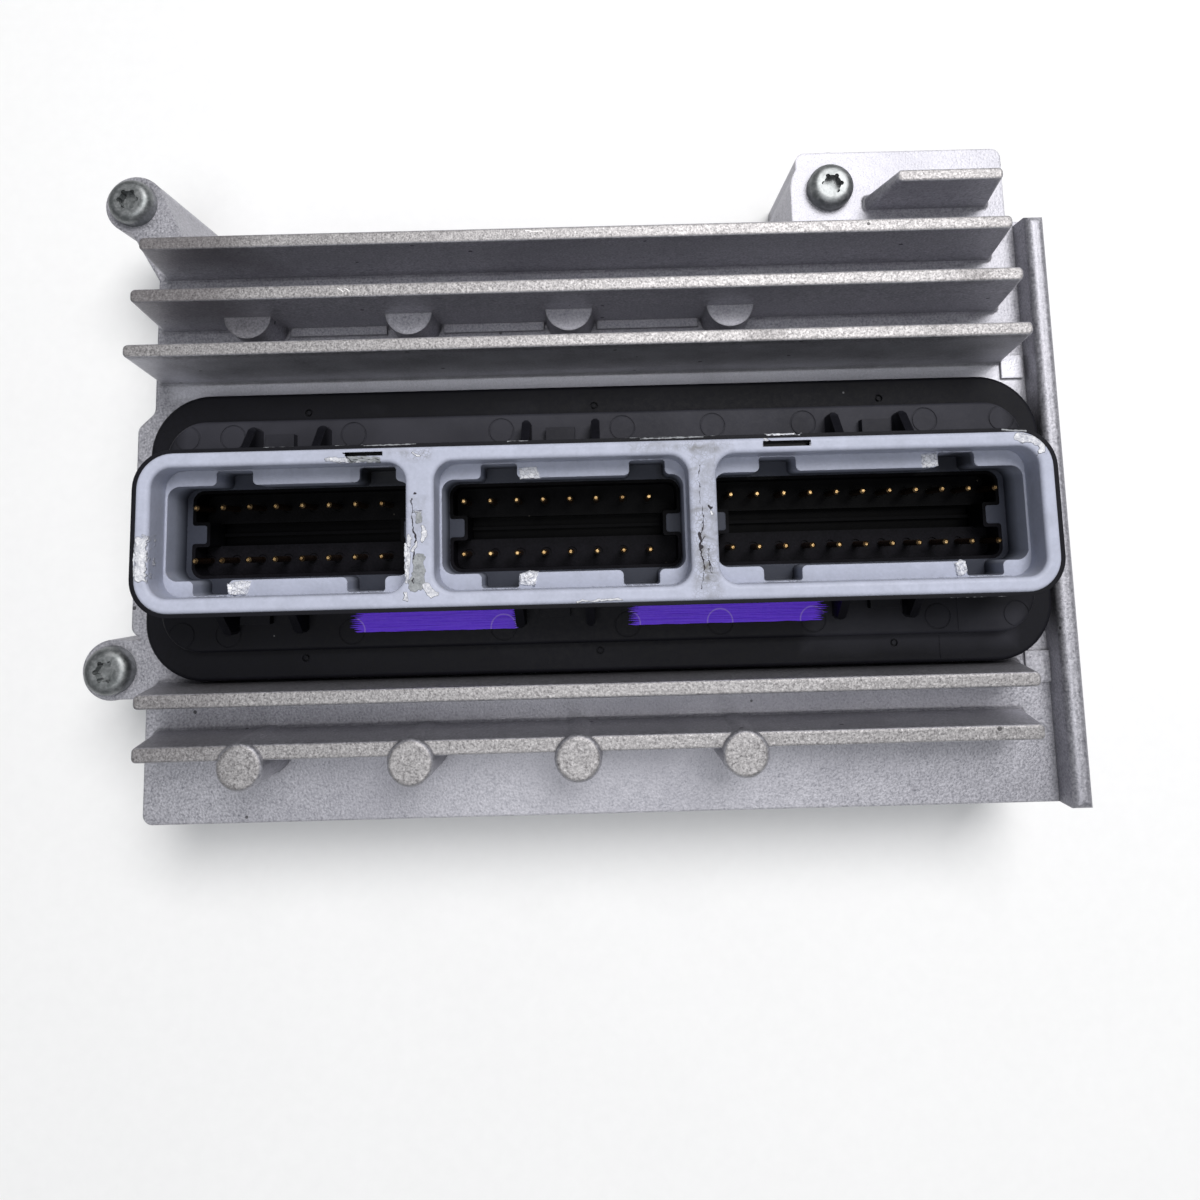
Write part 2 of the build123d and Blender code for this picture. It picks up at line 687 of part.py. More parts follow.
def build():
    """Every piece by its name."""
    pieces = {
        "heat_sink_housing": heat_sink_housing(),
        "rear_cover": rear_cover(),
        "cover_gasket": gasket_ring(),
        "header_base": header_base(),
        "header_seal": seal_ring(),
        "socket_shroud": socket_shroud(),
        "case_screws": case_screws(),
        "rear_screws": rear_screws(),
        "header_screws": header_screws(),
        "power_board": power_board(),
        "logic_board": logic_board(),
        "power_board_screws": power_board_screws(),
        "logic_board_spacers": logic_board_spacers(),
        "logic_board_screws": logic_board_screws(),
        "power_transistors": power_transistors(),
        "transistor_leads": transistor_leads(),
        "heat_foils": heat_foils(),
        "storage_capacitors": storage_capacitors(),
        "inductor_cores": inductor_cores(),
        "inductor_coils": inductor_coils(),
    }
    pieces["link_receptacle"], pieces["link_plug"] = board_link()
    for name, (x0, x1), xs in zip(names, block_x, pin_columns()):
        pieces["pin_block_" + name] = pin_block(x0, x1, xs)
        pieces["pins_" + name] = terminal_pins(xs)
    leads = []
    for name, (width, depth, height, pitch, x, y) in chips.items():
        pieces[name] = chip(width, depth, height, x, y)
        leads += chip_leads(width, depth, pitch, x, y)
    pieces["chip_leads"] = Compound(children=leads)
    return pieces


for node, shape in build().items():
    export_step(shape, "parts/" + node + ".step")
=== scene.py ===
import math
import random
import bpy
import bmesh
from mathutils import Matrix, Vector, noise


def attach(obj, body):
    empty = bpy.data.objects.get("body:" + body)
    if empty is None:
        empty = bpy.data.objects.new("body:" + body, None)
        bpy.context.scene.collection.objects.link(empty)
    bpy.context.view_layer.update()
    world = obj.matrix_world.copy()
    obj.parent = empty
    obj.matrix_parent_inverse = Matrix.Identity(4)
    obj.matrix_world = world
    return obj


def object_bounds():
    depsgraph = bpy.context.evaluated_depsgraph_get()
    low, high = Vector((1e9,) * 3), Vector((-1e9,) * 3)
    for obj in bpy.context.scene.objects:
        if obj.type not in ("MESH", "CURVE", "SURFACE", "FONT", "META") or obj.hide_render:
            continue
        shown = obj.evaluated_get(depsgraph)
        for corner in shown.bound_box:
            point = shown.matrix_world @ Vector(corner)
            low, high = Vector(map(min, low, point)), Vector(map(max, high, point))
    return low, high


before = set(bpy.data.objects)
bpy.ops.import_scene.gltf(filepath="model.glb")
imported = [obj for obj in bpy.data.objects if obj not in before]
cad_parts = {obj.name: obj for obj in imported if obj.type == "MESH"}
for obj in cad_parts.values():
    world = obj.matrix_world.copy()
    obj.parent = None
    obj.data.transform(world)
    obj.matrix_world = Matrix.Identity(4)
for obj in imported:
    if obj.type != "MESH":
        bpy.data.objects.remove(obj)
cadLow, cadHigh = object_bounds()
millimetre = 0.001


def srgb(red, green, blue):
    # a screen colour from 0 to 255 as the linear colour that a shader wants
    def linear(value):
        value /= 255
        return value / 12.92 if value <= 0.04045 else ((value + 0.055) / 1.055) ** 2.4
    return (linear(red), linear(green), linear(blue), 1.0)


def feed(tree, socket, value):
    # a socket takes a link or a value
    if isinstance(value, bpy.types.NodeSocket):
        tree.links.new(value, socket)
    else:
        socket.default_value = value


def feedAll(tree, node, values):
    # socket names are written without their spaces
    for name, value in values.items():
        feed(tree, next(socket for socket in node.inputs if socket.name.replace(" ", "") == name), value)


def put(tree, kind, inputs=None, **settings):
    # adds a shader node, sets it and feeds its sockets
    node = tree.nodes.new("ShaderNode" + kind)
    for name, value in settings.items():
        setattr(node, name, value)
    for name, value in (inputs or {}).items():
        feed(tree, node.inputs[name], value)
    return node


def math2(tree, operation, first, second=0.0, clamp=False):
    return put(tree, "Math", {0: first, 1: second}, operation=operation, use_clamp=clamp).outputs[0]


def blendColour(tree, factor, low, high):
    # inputs 0, 6 and 7 and output 2 are the colour sockets of a Mix node
    return put(tree, "Mix", {0: factor, 6: low, 7: high}, data_type="RGBA").outputs[2]


def spread(tree, value, low, high, toLow=0.0, toHigh=1.0):
    # a value from low to high becomes toLow to toHigh, held at both ends
    inputs = {"Value": value, "From Min": low, "From Max": high, "To Min": toLow, "To Max": toHigh}
    return put(tree, "MapRange", inputs).outputs["Result"]


def startGroup(name, inputs, outputs):
    # inputs: name -> (kind, default), outputs: name -> kind
    tree = bpy.data.node_groups.new(name, "ShaderNodeTree")
    for label, (kind, default) in inputs.items():
        socket = tree.interface.new_socket(name=label, in_out="INPUT", socket_type="NodeSocket" + kind)
        socket.default_value = default
    for label, kind in outputs.items():
        tree.interface.new_socket(name=label, in_out="OUTPUT", socket_type="NodeSocket" + kind)
    return tree, tree.nodes.new("NodeGroupInput"), tree.nodes.new("NodeGroupOutput")


def place(tree, group, **inputs):
    # puts a group into a material
    node = tree.nodes.new("ShaderNodeGroup")
    node.node_tree = group
    feedAll(tree, node, inputs)
    return node


# Shared effects

def makeGrain():
    tree, start, end = startGroup(
        "grain",
        {"Fine Scale": ("Float", 2200.0), "Coarse Scale": ("Float", 420.0), "Fine Share": ("Float", 0.55)},
        {"Value": "Float", "Height": "Float"})
    coords = put(tree, "TexCoord").outputs["Object"]
    fine = put(tree, "TexNoise", {"Vector": coords, "Scale": start.outputs["Fine Scale"],
                                  "Detail": 2.0, "Roughness": 0.6}).outputs["Fac"]
    coarse = put(tree, "TexNoise", {"Vector": coords, "Scale": start.outputs["Coarse Scale"],
                                    "Detail": 3.0, "Roughness": 0.65}).outputs["Fac"]
    both = put(tree, "Mix", {0: start.outputs["Fine Share"], 2: coarse, 3: fine}).outputs[0]
    tree.links.new(spread(tree, both, 0.3, 0.7), end.inputs["Value"])
    tree.links.new(both, end.inputs["Height"])
    return tree


def makeSpecks():
    # scattered round dots: Size is the dot's radius against the cell, Amount the share of cells
    tree, start, end = startGroup(
        "specks",
        {"Scale": ("Float", 500.0), "Size": ("Float", 0.2), "Amount": ("Float", 0.15)},
        {"Mask": "Float"})
    coords = put(tree, "TexCoord").outputs["Object"]
    cells = put(tree, "TexVoronoi", {"Vector": coords, "Scale": start.outputs["Scale"]})
    near = math2(tree, "LESS_THAN", cells.outputs["Distance"], start.outputs["Size"])
    draw = put(tree, "SeparateColor", {"Color": cells.outputs["Color"]}).outputs[0]
    chosen = math2(tree, "LESS_THAN", draw, start.outputs["Amount"])
    tree.links.new(math2(tree, "MULTIPLY", near, chosen), end.inputs["Mask"])
    return tree


def makeStains():
    # soft uneven patches
    tree, start, end = startGroup(
        "stains",
        {"Scale": ("Float", 60.0), "Threshold": ("Float", 0.55), "Softness": ("Float", 0.12),
         "Distortion": ("Float", 0.6)},
        {"Mask": "Float"})
    coords = put(tree, "TexCoord").outputs["Object"]
    cloud = put(tree, "TexNoise", {"Vector": coords, "Scale": start.outputs["Scale"], "Detail": 5.0,
                                   "Roughness": 0.62, "Distortion": start.outputs["Distortion"]})
    top = math2(tree, "ADD", start.outputs["Threshold"], start.outputs["Softness"])
    mask = spread(tree, cloud.outputs["Fac"], start.outputs["Threshold"], top)
    tree.links.new(mask, end.inputs["Mask"])
    return tree


def makeEdges():
    # a rounded normal over sharp edges and a mask of the edges themselves
    tree, start, end = startGroup(
        "edges",
        {"Radius": ("Float", 0.0004), "Strength": ("Float", 6.0)},
        {"Mask": "Float", "Normal": "Vector"})
    rounded = put(tree, "Bevel", {"Radius": start.outputs["Radius"]}, samples=2).outputs["Normal"]
    flat = put(tree, "NewGeometry").outputs["Normal"]
    dot = put(tree, "VectorMath", {0: rounded, 1: flat}, operation="DOT_PRODUCT").outputs["Value"]
    away = math2(tree, "SUBTRACT", 1.0, dot)
    tree.links.new(math2(tree, "MULTIPLY", away, start.outputs["Strength"], clamp=True), end.inputs["Mask"])
    tree.links.new(rounded, end.inputs["Normal"])
    return tree


def makeZone():
    # a soft box in the object's own coordinates, in metres, with a ragged edge
    tree, start, end = startGroup(
        "zone",
        {"Centre": ("Vector", (0, 0, 0)), "Half Size": ("Vector", (0.01, 0.01, 0.01)),
         "Softness": ("Float", 0.0005), "Ragged": ("Float", 0.0), "Ragged Scale": ("Float", 600.0)},
        {"Mask": "Float"})
    coords = put(tree, "TexCoord").outputs["Object"]
    away = put(tree, "VectorMath", {0: coords, 1: start.outputs["Centre"]}, operation="SUBTRACT")
    away = put(tree, "VectorMath", {0: away.outputs[0]}, operation="ABSOLUTE")
    past = put(tree, "VectorMath", {0: away.outputs[0], 1: start.outputs["Half Size"]}, operation="SUBTRACT")
    parts = put(tree, "SeparateXYZ", {0: past.outputs[0]})
    most = math2(tree, "MAXIMUM", parts.outputs[0], parts.outputs[1])
    most = math2(tree, "MAXIMUM", most, parts.outputs[2])
    cloud = put(tree, "TexNoise", {"Vector": coords, "Scale": start.outputs["Ragged Scale"], "Detail": 4.0})
    offset = math2(tree, "SUBTRACT", cloud.outputs["Fac"], 0.5)
    offset = math2(tree, "MULTIPLY", offset, start.outputs["Ragged"])
    most = math2(tree, "ADD", most, offset)
    scaled = math2(tree, "DIVIDE", most, start.outputs["Softness"])
    tree.links.new(math2(tree, "SUBTRACT", 0.5, scaled, clamp=True), end.inputs["Mask"])
    return tree


def makeStroke():
    # a line seen from above, from Start to End, with a soft edge that Offset makes ragged
    tree, start, end = startGroup(
        "stroke",
        {"Place": ("Vector", (0, 0, 0)), "Start": ("Vector", (0, 0, 0)), "End": ("Vector", (0.01, 0, 0)),
         "Width": ("Float", 0.0002), "Softness": ("Float", 0.00008), "Offset": ("Float", 0.0)},
        {"Mask": "Float"})
    flat = put(tree, "VectorMath", {0: start.outputs["Place"], 1: (1, 1, 0)}, operation="MULTIPLY").outputs[0]
    first = start.outputs["Start"]
    along = put(tree, "VectorMath", {0: start.outputs["End"], 1: first}, operation="SUBTRACT").outputs[0]
    point = put(tree, "VectorMath", {0: flat, 1: first}, operation="SUBTRACT").outputs[0]
    done = put(tree, "VectorMath", {0: point, 1: along}, operation="DOT_PRODUCT").outputs["Value"]
    whole = put(tree, "VectorMath", {0: along, 1: along}, operation="DOT_PRODUCT").outputs["Value"]
    share = math2(tree, "DIVIDE", done, whole, clamp=True)
    foot = put(tree, "VectorMath", {0: along, "Scale": share}, operation="SCALE").outputs[0]
    away = put(tree, "VectorMath", {0: point, 1: foot}, operation="DISTANCE").outputs["Value"]
    past = math2(tree, "SUBTRACT", math2(tree, "ADD", away, start.outputs["Offset"]), start.outputs["Width"])
    scaled = math2(tree, "DIVIDE", past, start.outputs["Softness"])
    tree.links.new(math2(tree, "SUBTRACT", 0.5, scaled, clamp=True), end.inputs["Mask"])
    return tree


grain = makeGrain()
specks = makeSpecks()
stains = makeStains()
edges = makeEdges()
zone = makeZone()
stroke = makeStroke()
print("shared effects made")


def newMaterial(name):
    material = bpy.data.materials.new(name)
    material.use_nodes = True
    tree = material.node_tree
    return material, tree, tree.nodes["Principled BSDF"]


def bump(tree, height, depth, normal=None):
    inputs = {"Height": height, "Distance": depth, "Strength": 1.0}
    if normal is not None:
        inputs["Normal"] = normal
    return put(tree, "Bump", inputs).outputs["Normal"]


def facing(tree, axis, low, high):
    # how far the surface faces along an axis of the object, from low to high
    normal = put(tree, "TexCoord").outputs["Normal"]
    return spread(tree, put(tree, "SeparateXYZ", {0: normal}).outputs[axis], low, high)


def heightBand(tree, low, high):
    # 0 under low and 1 over high, in metres along Z
    coords = put(tree, "TexCoord").outputs["Object"]
    return spread(tree, put(tree, "SeparateXYZ", {0: coords}).outputs["Z"], low, high)


def ragged(tree, scale, amount):
    # an uneven offset for the edges of strokes, in metres
    coords = put(tree, "TexCoord").outputs["Object"]
    cloud = put(tree, "TexNoise", {"Vector": coords, "Scale": scale, "Detail": 3.0}).outputs["Fac"]
    return math2(tree, "MULTIPLY", math2(tree, "SUBTRACT", cloud, 0.5), amount)


# how the drawn strokes waver, and how high above low they start to show
markLook = {"bendScale": 620.0, "bendDetail": 3.0, "fade": 0.0002}


def drawn(tree, marks):
    # the mask of many strokes, (x0, y0, x1, y1, width) in millimetres, on what lies above low
    coords = put(tree, "TexCoord").outputs["Object"]
    offset = ragged(tree, *marks["edge"])
    look = {"Vector": coords, "Scale": markLook["bendScale"], "Detail": markLook["bendDetail"]}
    bend = put(tree, "TexNoise", look).outputs["Color"]
    bend = put(tree, "VectorMath", {0: bend, 1: (0.5, 0.5, 0.5)}, operation="SUBTRACT").outputs[0]
    bend = put(tree, "VectorMath", {0: bend, "Scale": marks["wobble"]}, operation="SCALE").outputs[0]
    bent = put(tree, "VectorMath", {0: coords, 1: bend}, operation="ADD").outputs[0]
    mask = 0.0
    for x0, y0, x1, y1, width in marks["lines"]:
        start = (x0 * millimetre, y0 * millimetre, 0)
        end = (x1 * millimetre, y1 * millimetre, 0)
        one = place(tree, stroke, Place=bent, Start=start, End=end, Width=width * millimetre, Offset=offset)
        mask = math2(tree, "MAXIMUM", mask, one.outputs["Mask"])
    return math2(tree, "MULTIPLY", mask, heightBand(tree, marks["low"], marks["low"] + markLook["fade"]))


def tint(tree, colour, mask, share, shade):
    # lays a shade over the colour where the mask is, as strong as the share
    return blendColour(tree, math2(tree, "MULTIPLY", mask, share), colour, shade)


def tintEffect(tree, colour, group, look, share, shade):
    # the same, with the mask of a shared effect
    return tint(tree, colour, place(tree, group, **look).outputs["Mask"], share, shade)


def tintZones(tree, colour, zones, shade, over=1.0):
    # the same, in boxes of (centre, half size, share)
    for centre, half, share in zones["boxes"]:
        area = place(tree, zone, Centre=centre, HalfSize=half, **zones["edge"])
        mask = math2(tree, "MULTIPLY", area.outputs["Mask"], over)
        colour = tint(tree, colour, mask, share, shade)
    return colour


# Materials

def castMetal(name, values):
    material, tree, shader = newMaterial(name)
    texture = place(tree, grain, **values["grain"])
    colour = blendColour(tree, texture.outputs["Value"], values["dark"], values["light"])
    colour = tintEffect(tree, colour, stains, values["stains"], values["stainShare"], values["stain"])

    # sandy tips of the fins
    flat = facing(tree, "Z", *values["tipFacing"])
    tip = math2(tree, "MULTIPLY", heightBand(tree, *values["tipBand"]), flat)
    sand = place(tree, grain, **values["sandGrain"])
    sandColour = blendColour(tree, sand.outputs["Value"], values["sandDark"], values["sandLight"])
    colour = tint(tree, colour, tip, values["sandShare"], sandColour)

    # darker patches at the left ends of the fins and small dark marks on fin tips; the third box is painted
    # light, lightening the floor and the face of the fin next to the header where that fin's shadow falls
    for centre, half, soft, share, shade in values["patches"]:
        look = dict(values["patchEdge"], Centre=centre, HalfSize=half, Softness=soft)
        colour = tintEffect(tree, colour, zone, look, share, shade)
    if values["nicks"]:
        colour = blendColour(tree, drawn(tree, values["nicks"]), colour, values["nick"])

    # black pits, worn edges, and painted shade that darkens the corners of the floor
    colour = tintEffect(tree, colour, specks, values["pits"], values["pitShare"], values["pit"])
    edge = place(tree, edges, **values["edges"])
    colour = tint(tree, colour, edge.outputs["Mask"], values["wornShare"], values["worn"])
    shadow = put(tree, "AmbientOcclusion", {"Distance": values["grimeReach"]}, samples=3).outputs["AO"]
    grime = spread(tree, shadow, *values["grimeBand"], values["grimeShare"], 0.0)
    colour = blendColour(tree, grime, colour, values["grime"])

    rough = spread(tree, texture.outputs["Value"], 0.0, 1.0, *values["rough"])
    normal = bump(tree, texture.outputs["Height"], values["bump"], edge.outputs["Normal"])
    feedAll(tree, shader, {"BaseColor": colour, "Metallic": values["metallic"], "Roughness": rough,
                           "Normal": normal})
    return material


castValues = {
    "grain": {"FineScale": 2150.0, "CoarseScale": 520.0, "FineShare": 0.75},
    "dark": srgb(132, 132, 139), "light": srgb(203, 202, 209),
    "stains": {"Scale": 34.0, "Threshold": 0.42, "Softness": 0.3},
    "stainShare": 0.35, "stain": srgb(128, 127, 136),
    "tipBand": (0.0462, 0.0466), "tipFacing": (0.75, 0.95),
    "sandGrain": {"FineScale": 3000.0, "CoarseScale": 1600.0, "FineShare": 0.55},
    "sandShare": 0.9, "sandDark": srgb(74, 71, 71), "sandLight": srgb(203, 200, 200),
    "patchEdge": {"Ragged": 0.006, "RaggedScale": 120.0},
    "patches": (
        ((-0.078, 0.050, 0.050), (0.012, 0.012, 0.010), 0.010, 0.5, srgb(92, 86, 88)),
        ((-0.080, -0.035, 0.046), (0.010, 0.008, 0.008), 0.010, 0.3, srgb(92, 86, 88)),
        # painted light on the floor and fin face between the header and the fin next to it
        ((0.000, 0.0300, 0.0415), (0.088, 0.0026, 0.0115), 0.003, 0.45, srgb(238, 238, 246)),
        ((0.0324, 0.0335, 0.0556), (0.0036, 0.0012, 0.0010), 0.002, 0.28, srgb(60, 56, 55)),
        ((0.0635, 0.0335, 0.0556), (0.0026, 0.0012, 0.0010), 0.002, 0.26, srgb(60, 56, 55)),
        ((0.0720, 0.0444, 0.0536), (0.0022, 0.0012, 0.0010), 0.002, 0.28, srgb(60, 56, 55))),
    "nick": srgb(232, 230, 230),
    "nicks": {
        "edge": (1500.0, 0.0001), "low": 0.0500, "wobble": 0.0006,
        "lines": (
            (-47.0, 44.9, -46.0, 44.1, 0.09), (-45.8, 44.9, -44.9, 44.2, 0.08),
            (-12.0, 55.9, -9.0, 55.8, 0.06))},
    "pits": {"Scale": 470.0, "Size": 0.2, "Amount": 0.022}, "pitShare": 0.75, "pit": srgb(40, 38, 40),
    "edges": {"Radius": 0.0005, "Strength": 3.0}, "wornShare": 0.35, "worn": srgb(208, 206, 208),
    # painted shade in corners and crevices, from ambient occlusion
    "grimeReach": 0.004, "grimeBand": (0.2, 0.75), "grimeShare": 0.5, "grime": srgb(64, 62, 66),
    "rough": (0.42, 0.62), "bump": 0.00009, "metallic": 0.8,
}
coverValues = dict(
    castValues, dark=srgb(150, 150, 155), light=srgb(186, 185, 190), sandShare=0.0, grimeShare=0.2,
    patches=(), nicks=None)


def blackPlastic(name, values):
    material, tree, shader = newMaterial(name)
    texture = place(tree, grain, **values["grain"])
    colour = blendColour(tree, texture.outputs["Value"], values["dark"], values["light"])
    colour = tintEffect(tree, colour, stains, values["stains"], values["stainShare"], values["stain"])
    edge = place(tree, edges, **values["edges"])
    colour = tint(tree, colour, edge.outputs["Mask"], values["wornShare"], values["worn"])
    colour = tintEffect(tree, colour, specks, values["specks"], values["dustShare"], values["dust"])

    # painted sheen: lighter patches where light glances off the steps
    colour = tintZones(tree, colour, values["sheens"], values["sheen"])

    # the collar's top edge is scraped where plugs were pulled off
    flat = facing(tree, "Z", *values["scrapeFacing"])
    colour = tint(tree, colour, drawn(tree, values["scratches"]), flat, values["scrape"])
    rough = spread(tree, texture.outputs["Value"], 0.0, 1.0, *values["rough"])
    normal = bump(tree, texture.outputs["Height"], values["bump"], edge.outputs["Normal"])
    feedAll(tree, shader, {"BaseColor": colour, "Roughness": rough, "Normal": normal,
                           "SpecularIORLevel": values["specular"]})
    return material


blackValues = {
    "grain": {"FineScale": 3200.0, "CoarseScale": 900.0},
    "dark": srgb(9, 9, 13), "light": srgb(19, 19, 26),
    "stains": {"Scale": 45.0, "Threshold": 0.4, "Softness": 0.3},
    "stainShare": 0.4, "stain": srgb(27, 27, 34),
    "edges": {"Radius": 0.0003, "Strength": 3.0}, "wornShare": 0.35, "worn": srgb(64, 64, 70),
    "specks": {"Scale": 420.0, "Size": 0.09, "Amount": 0.02}, "dustShare": 0.6, "dust": srgb(130, 130, 132),
    # painted sheen on the upper step and on the lower right of the step
    "sheen": srgb(66, 66, 74),
    "sheens": {
        "edge": {"Softness": 0.004, "Ragged": 0.004, "RaggedScale": 90.0},
        "boxes": (
            ((0.0, 0.0192, 0.0425), (0.081, 0.0035, 0.002), 0.7),
            ((0.060, -0.0215, 0.040), (0.020, 0.003, 0.003), 0.45))},
    "scrape": srgb(150, 152, 156), "scrapeFacing": (0.6, 0.9),
    "scratches": {
        "edge": (1300.0, 0.00035), "low": 0.0606, "wobble": 0.0003,
        "lines": (
            (-57.4, 14.5, -52.2, 14.55, 0.12), (-61.0, 14.65, -45.0, 14.7, 0.05),
            (-45.0, 14.5, -36.5, 14.6, 0.08), (-40.0, 14.25, -31.0, 14.3, 0.07),
            (-15.0, 14.4, -11.5, 14.4, 0.07), (-8.0, 14.6, 6.0, 14.6, 0.05), (5.5, 14.5, 21.0, 14.5, 0.09),
            (8.0, 14.2, 19.0, 14.25, 0.07), (71.0, 14.2, 75.0, 13.8, 0.12), (-30.0, 14.6, -18.0, 14.62, 0.03),
            (24.0, 14.6, 44.0, 14.6, 0.04), (60.0, -14.5, 72.0, -14.5, 0.05))},
    "rough": (0.46, 0.66), "bump": 0.00003, "specular": 0.14,
}


def greyPlastic(name, values):
    material, tree, shader = newMaterial(name)
    texture = place(tree, grain, **values["grain"])
    colour = blendColour(tree, texture.outputs["Value"], values["dark"], values["light"])
    cloud = place(tree, stains, **values["stains"])
    colour = tint(tree, colour, cloud.outputs["Mask"], values["stainShare"], values["stain"])
    edge = place(tree, edges, **values["edges"])
    colour = tint(tree, colour, edge.outputs["Mask"], values["wornShare"], values["worn"])

    # painted shade: the walls darken towards the floors of the sockets, and the floors are painted near black
    flat = facing(tree, "Z", *values["wallFacing"])
    high = math2(tree, "MAXIMUM", heightBand(tree, *values["wallBand"]), flat)
    colour = blendColour(tree, high, blendColour(tree, values["deepShare"], colour, values["deep"]), colour)
    high = heightBand(tree, *values["floorBand"])
    colour = blendColour(tree, high, blendColour(tree, values["floorShare"], colour, values["floor"]), colour)
    # painted shadow in the sockets' upper right corners and over the left upper pad, and painted shade inside
    # the rim's slots
    colour = tintZones(tree, colour, values["shades"], values["slot"])
    colour = tintZones(tree, colour, values["slots"], values["slot"])

    # dirt and crazing rubbed into the dividers between the sockets
    coords = put(tree, "TexCoord").outputs["Object"]
    cells = {"Vector": coords, "Scale": values["crazeScale"]}
    crazed = put(tree, "TexVoronoi", cells, feature="DISTANCE_TO_EDGE").outputs["Distance"]
    crazed = spread(tree, crazed, *values["crazeBand"], values["crazeShare"], 0.0)
    rubbed = place(tree, stains, **values["rubbed"]).outputs["Mask"]
    rubbed = math2(tree, "MULTIPLY", rubbed, values["rubbedShare"])
    grimy = math2(tree, "MAXIMUM", crazed, rubbed)
    colour = tintZones(tree, colour, values["dirts"], values["dirt"], grimy)
    colour = tintEffect(tree, colour, specks, values["specks"], values["dotShare"], values["dot"])

    # roughened stock, cracks and lifted flakes on the rim
    fibres = place(tree, grain, **values["fibreGrain"])
    stock = blendColour(tree, fibres.outputs["Value"], values["stockDark"], values["stockLight"])
    roughened = drawn(tree, values["roughened"])
    colour = blendColour(tree, roughened, colour, stock)
    colour = blendColour(tree, drawn(tree, values["cracks"]), colour, values["crack"])
    torn = drawn(tree, values["flakes"])
    for centre, half in values["tears"]["boxes"]:
        area = place(tree, zone, Centre=centre, HalfSize=half, **values["tears"]["edge"])
        torn = math2(tree, "MAXIMUM", torn, area.outputs["Mask"])
    tornColour = blendColour(tree, fibres.outputs["Value"], values["tornDark"], values["tornLight"])
    colour = blendColour(tree, torn, colour, tornColour)
    lifted = math2(tree, "MAXIMUM", torn, math2(tree, "MULTIPLY", roughened, values["stockRise"]))
    lifted = math2(tree, "MULTIPLY", fibres.outputs["Height"], lifted)

    rough = spread(tree, cloud.outputs["Mask"], 0.0, 1.0, *values["rough"])
    normal = bump(tree, texture.outputs["Height"], values["bump"], edge.outputs["Normal"])
    normal = bump(tree, lifted, values["tornBump"], normal)
    feedAll(tree, shader, {"BaseColor": colour, "Roughness": rough, "Normal": normal,
                           "SpecularIORLevel": values["specular"]})
    return material


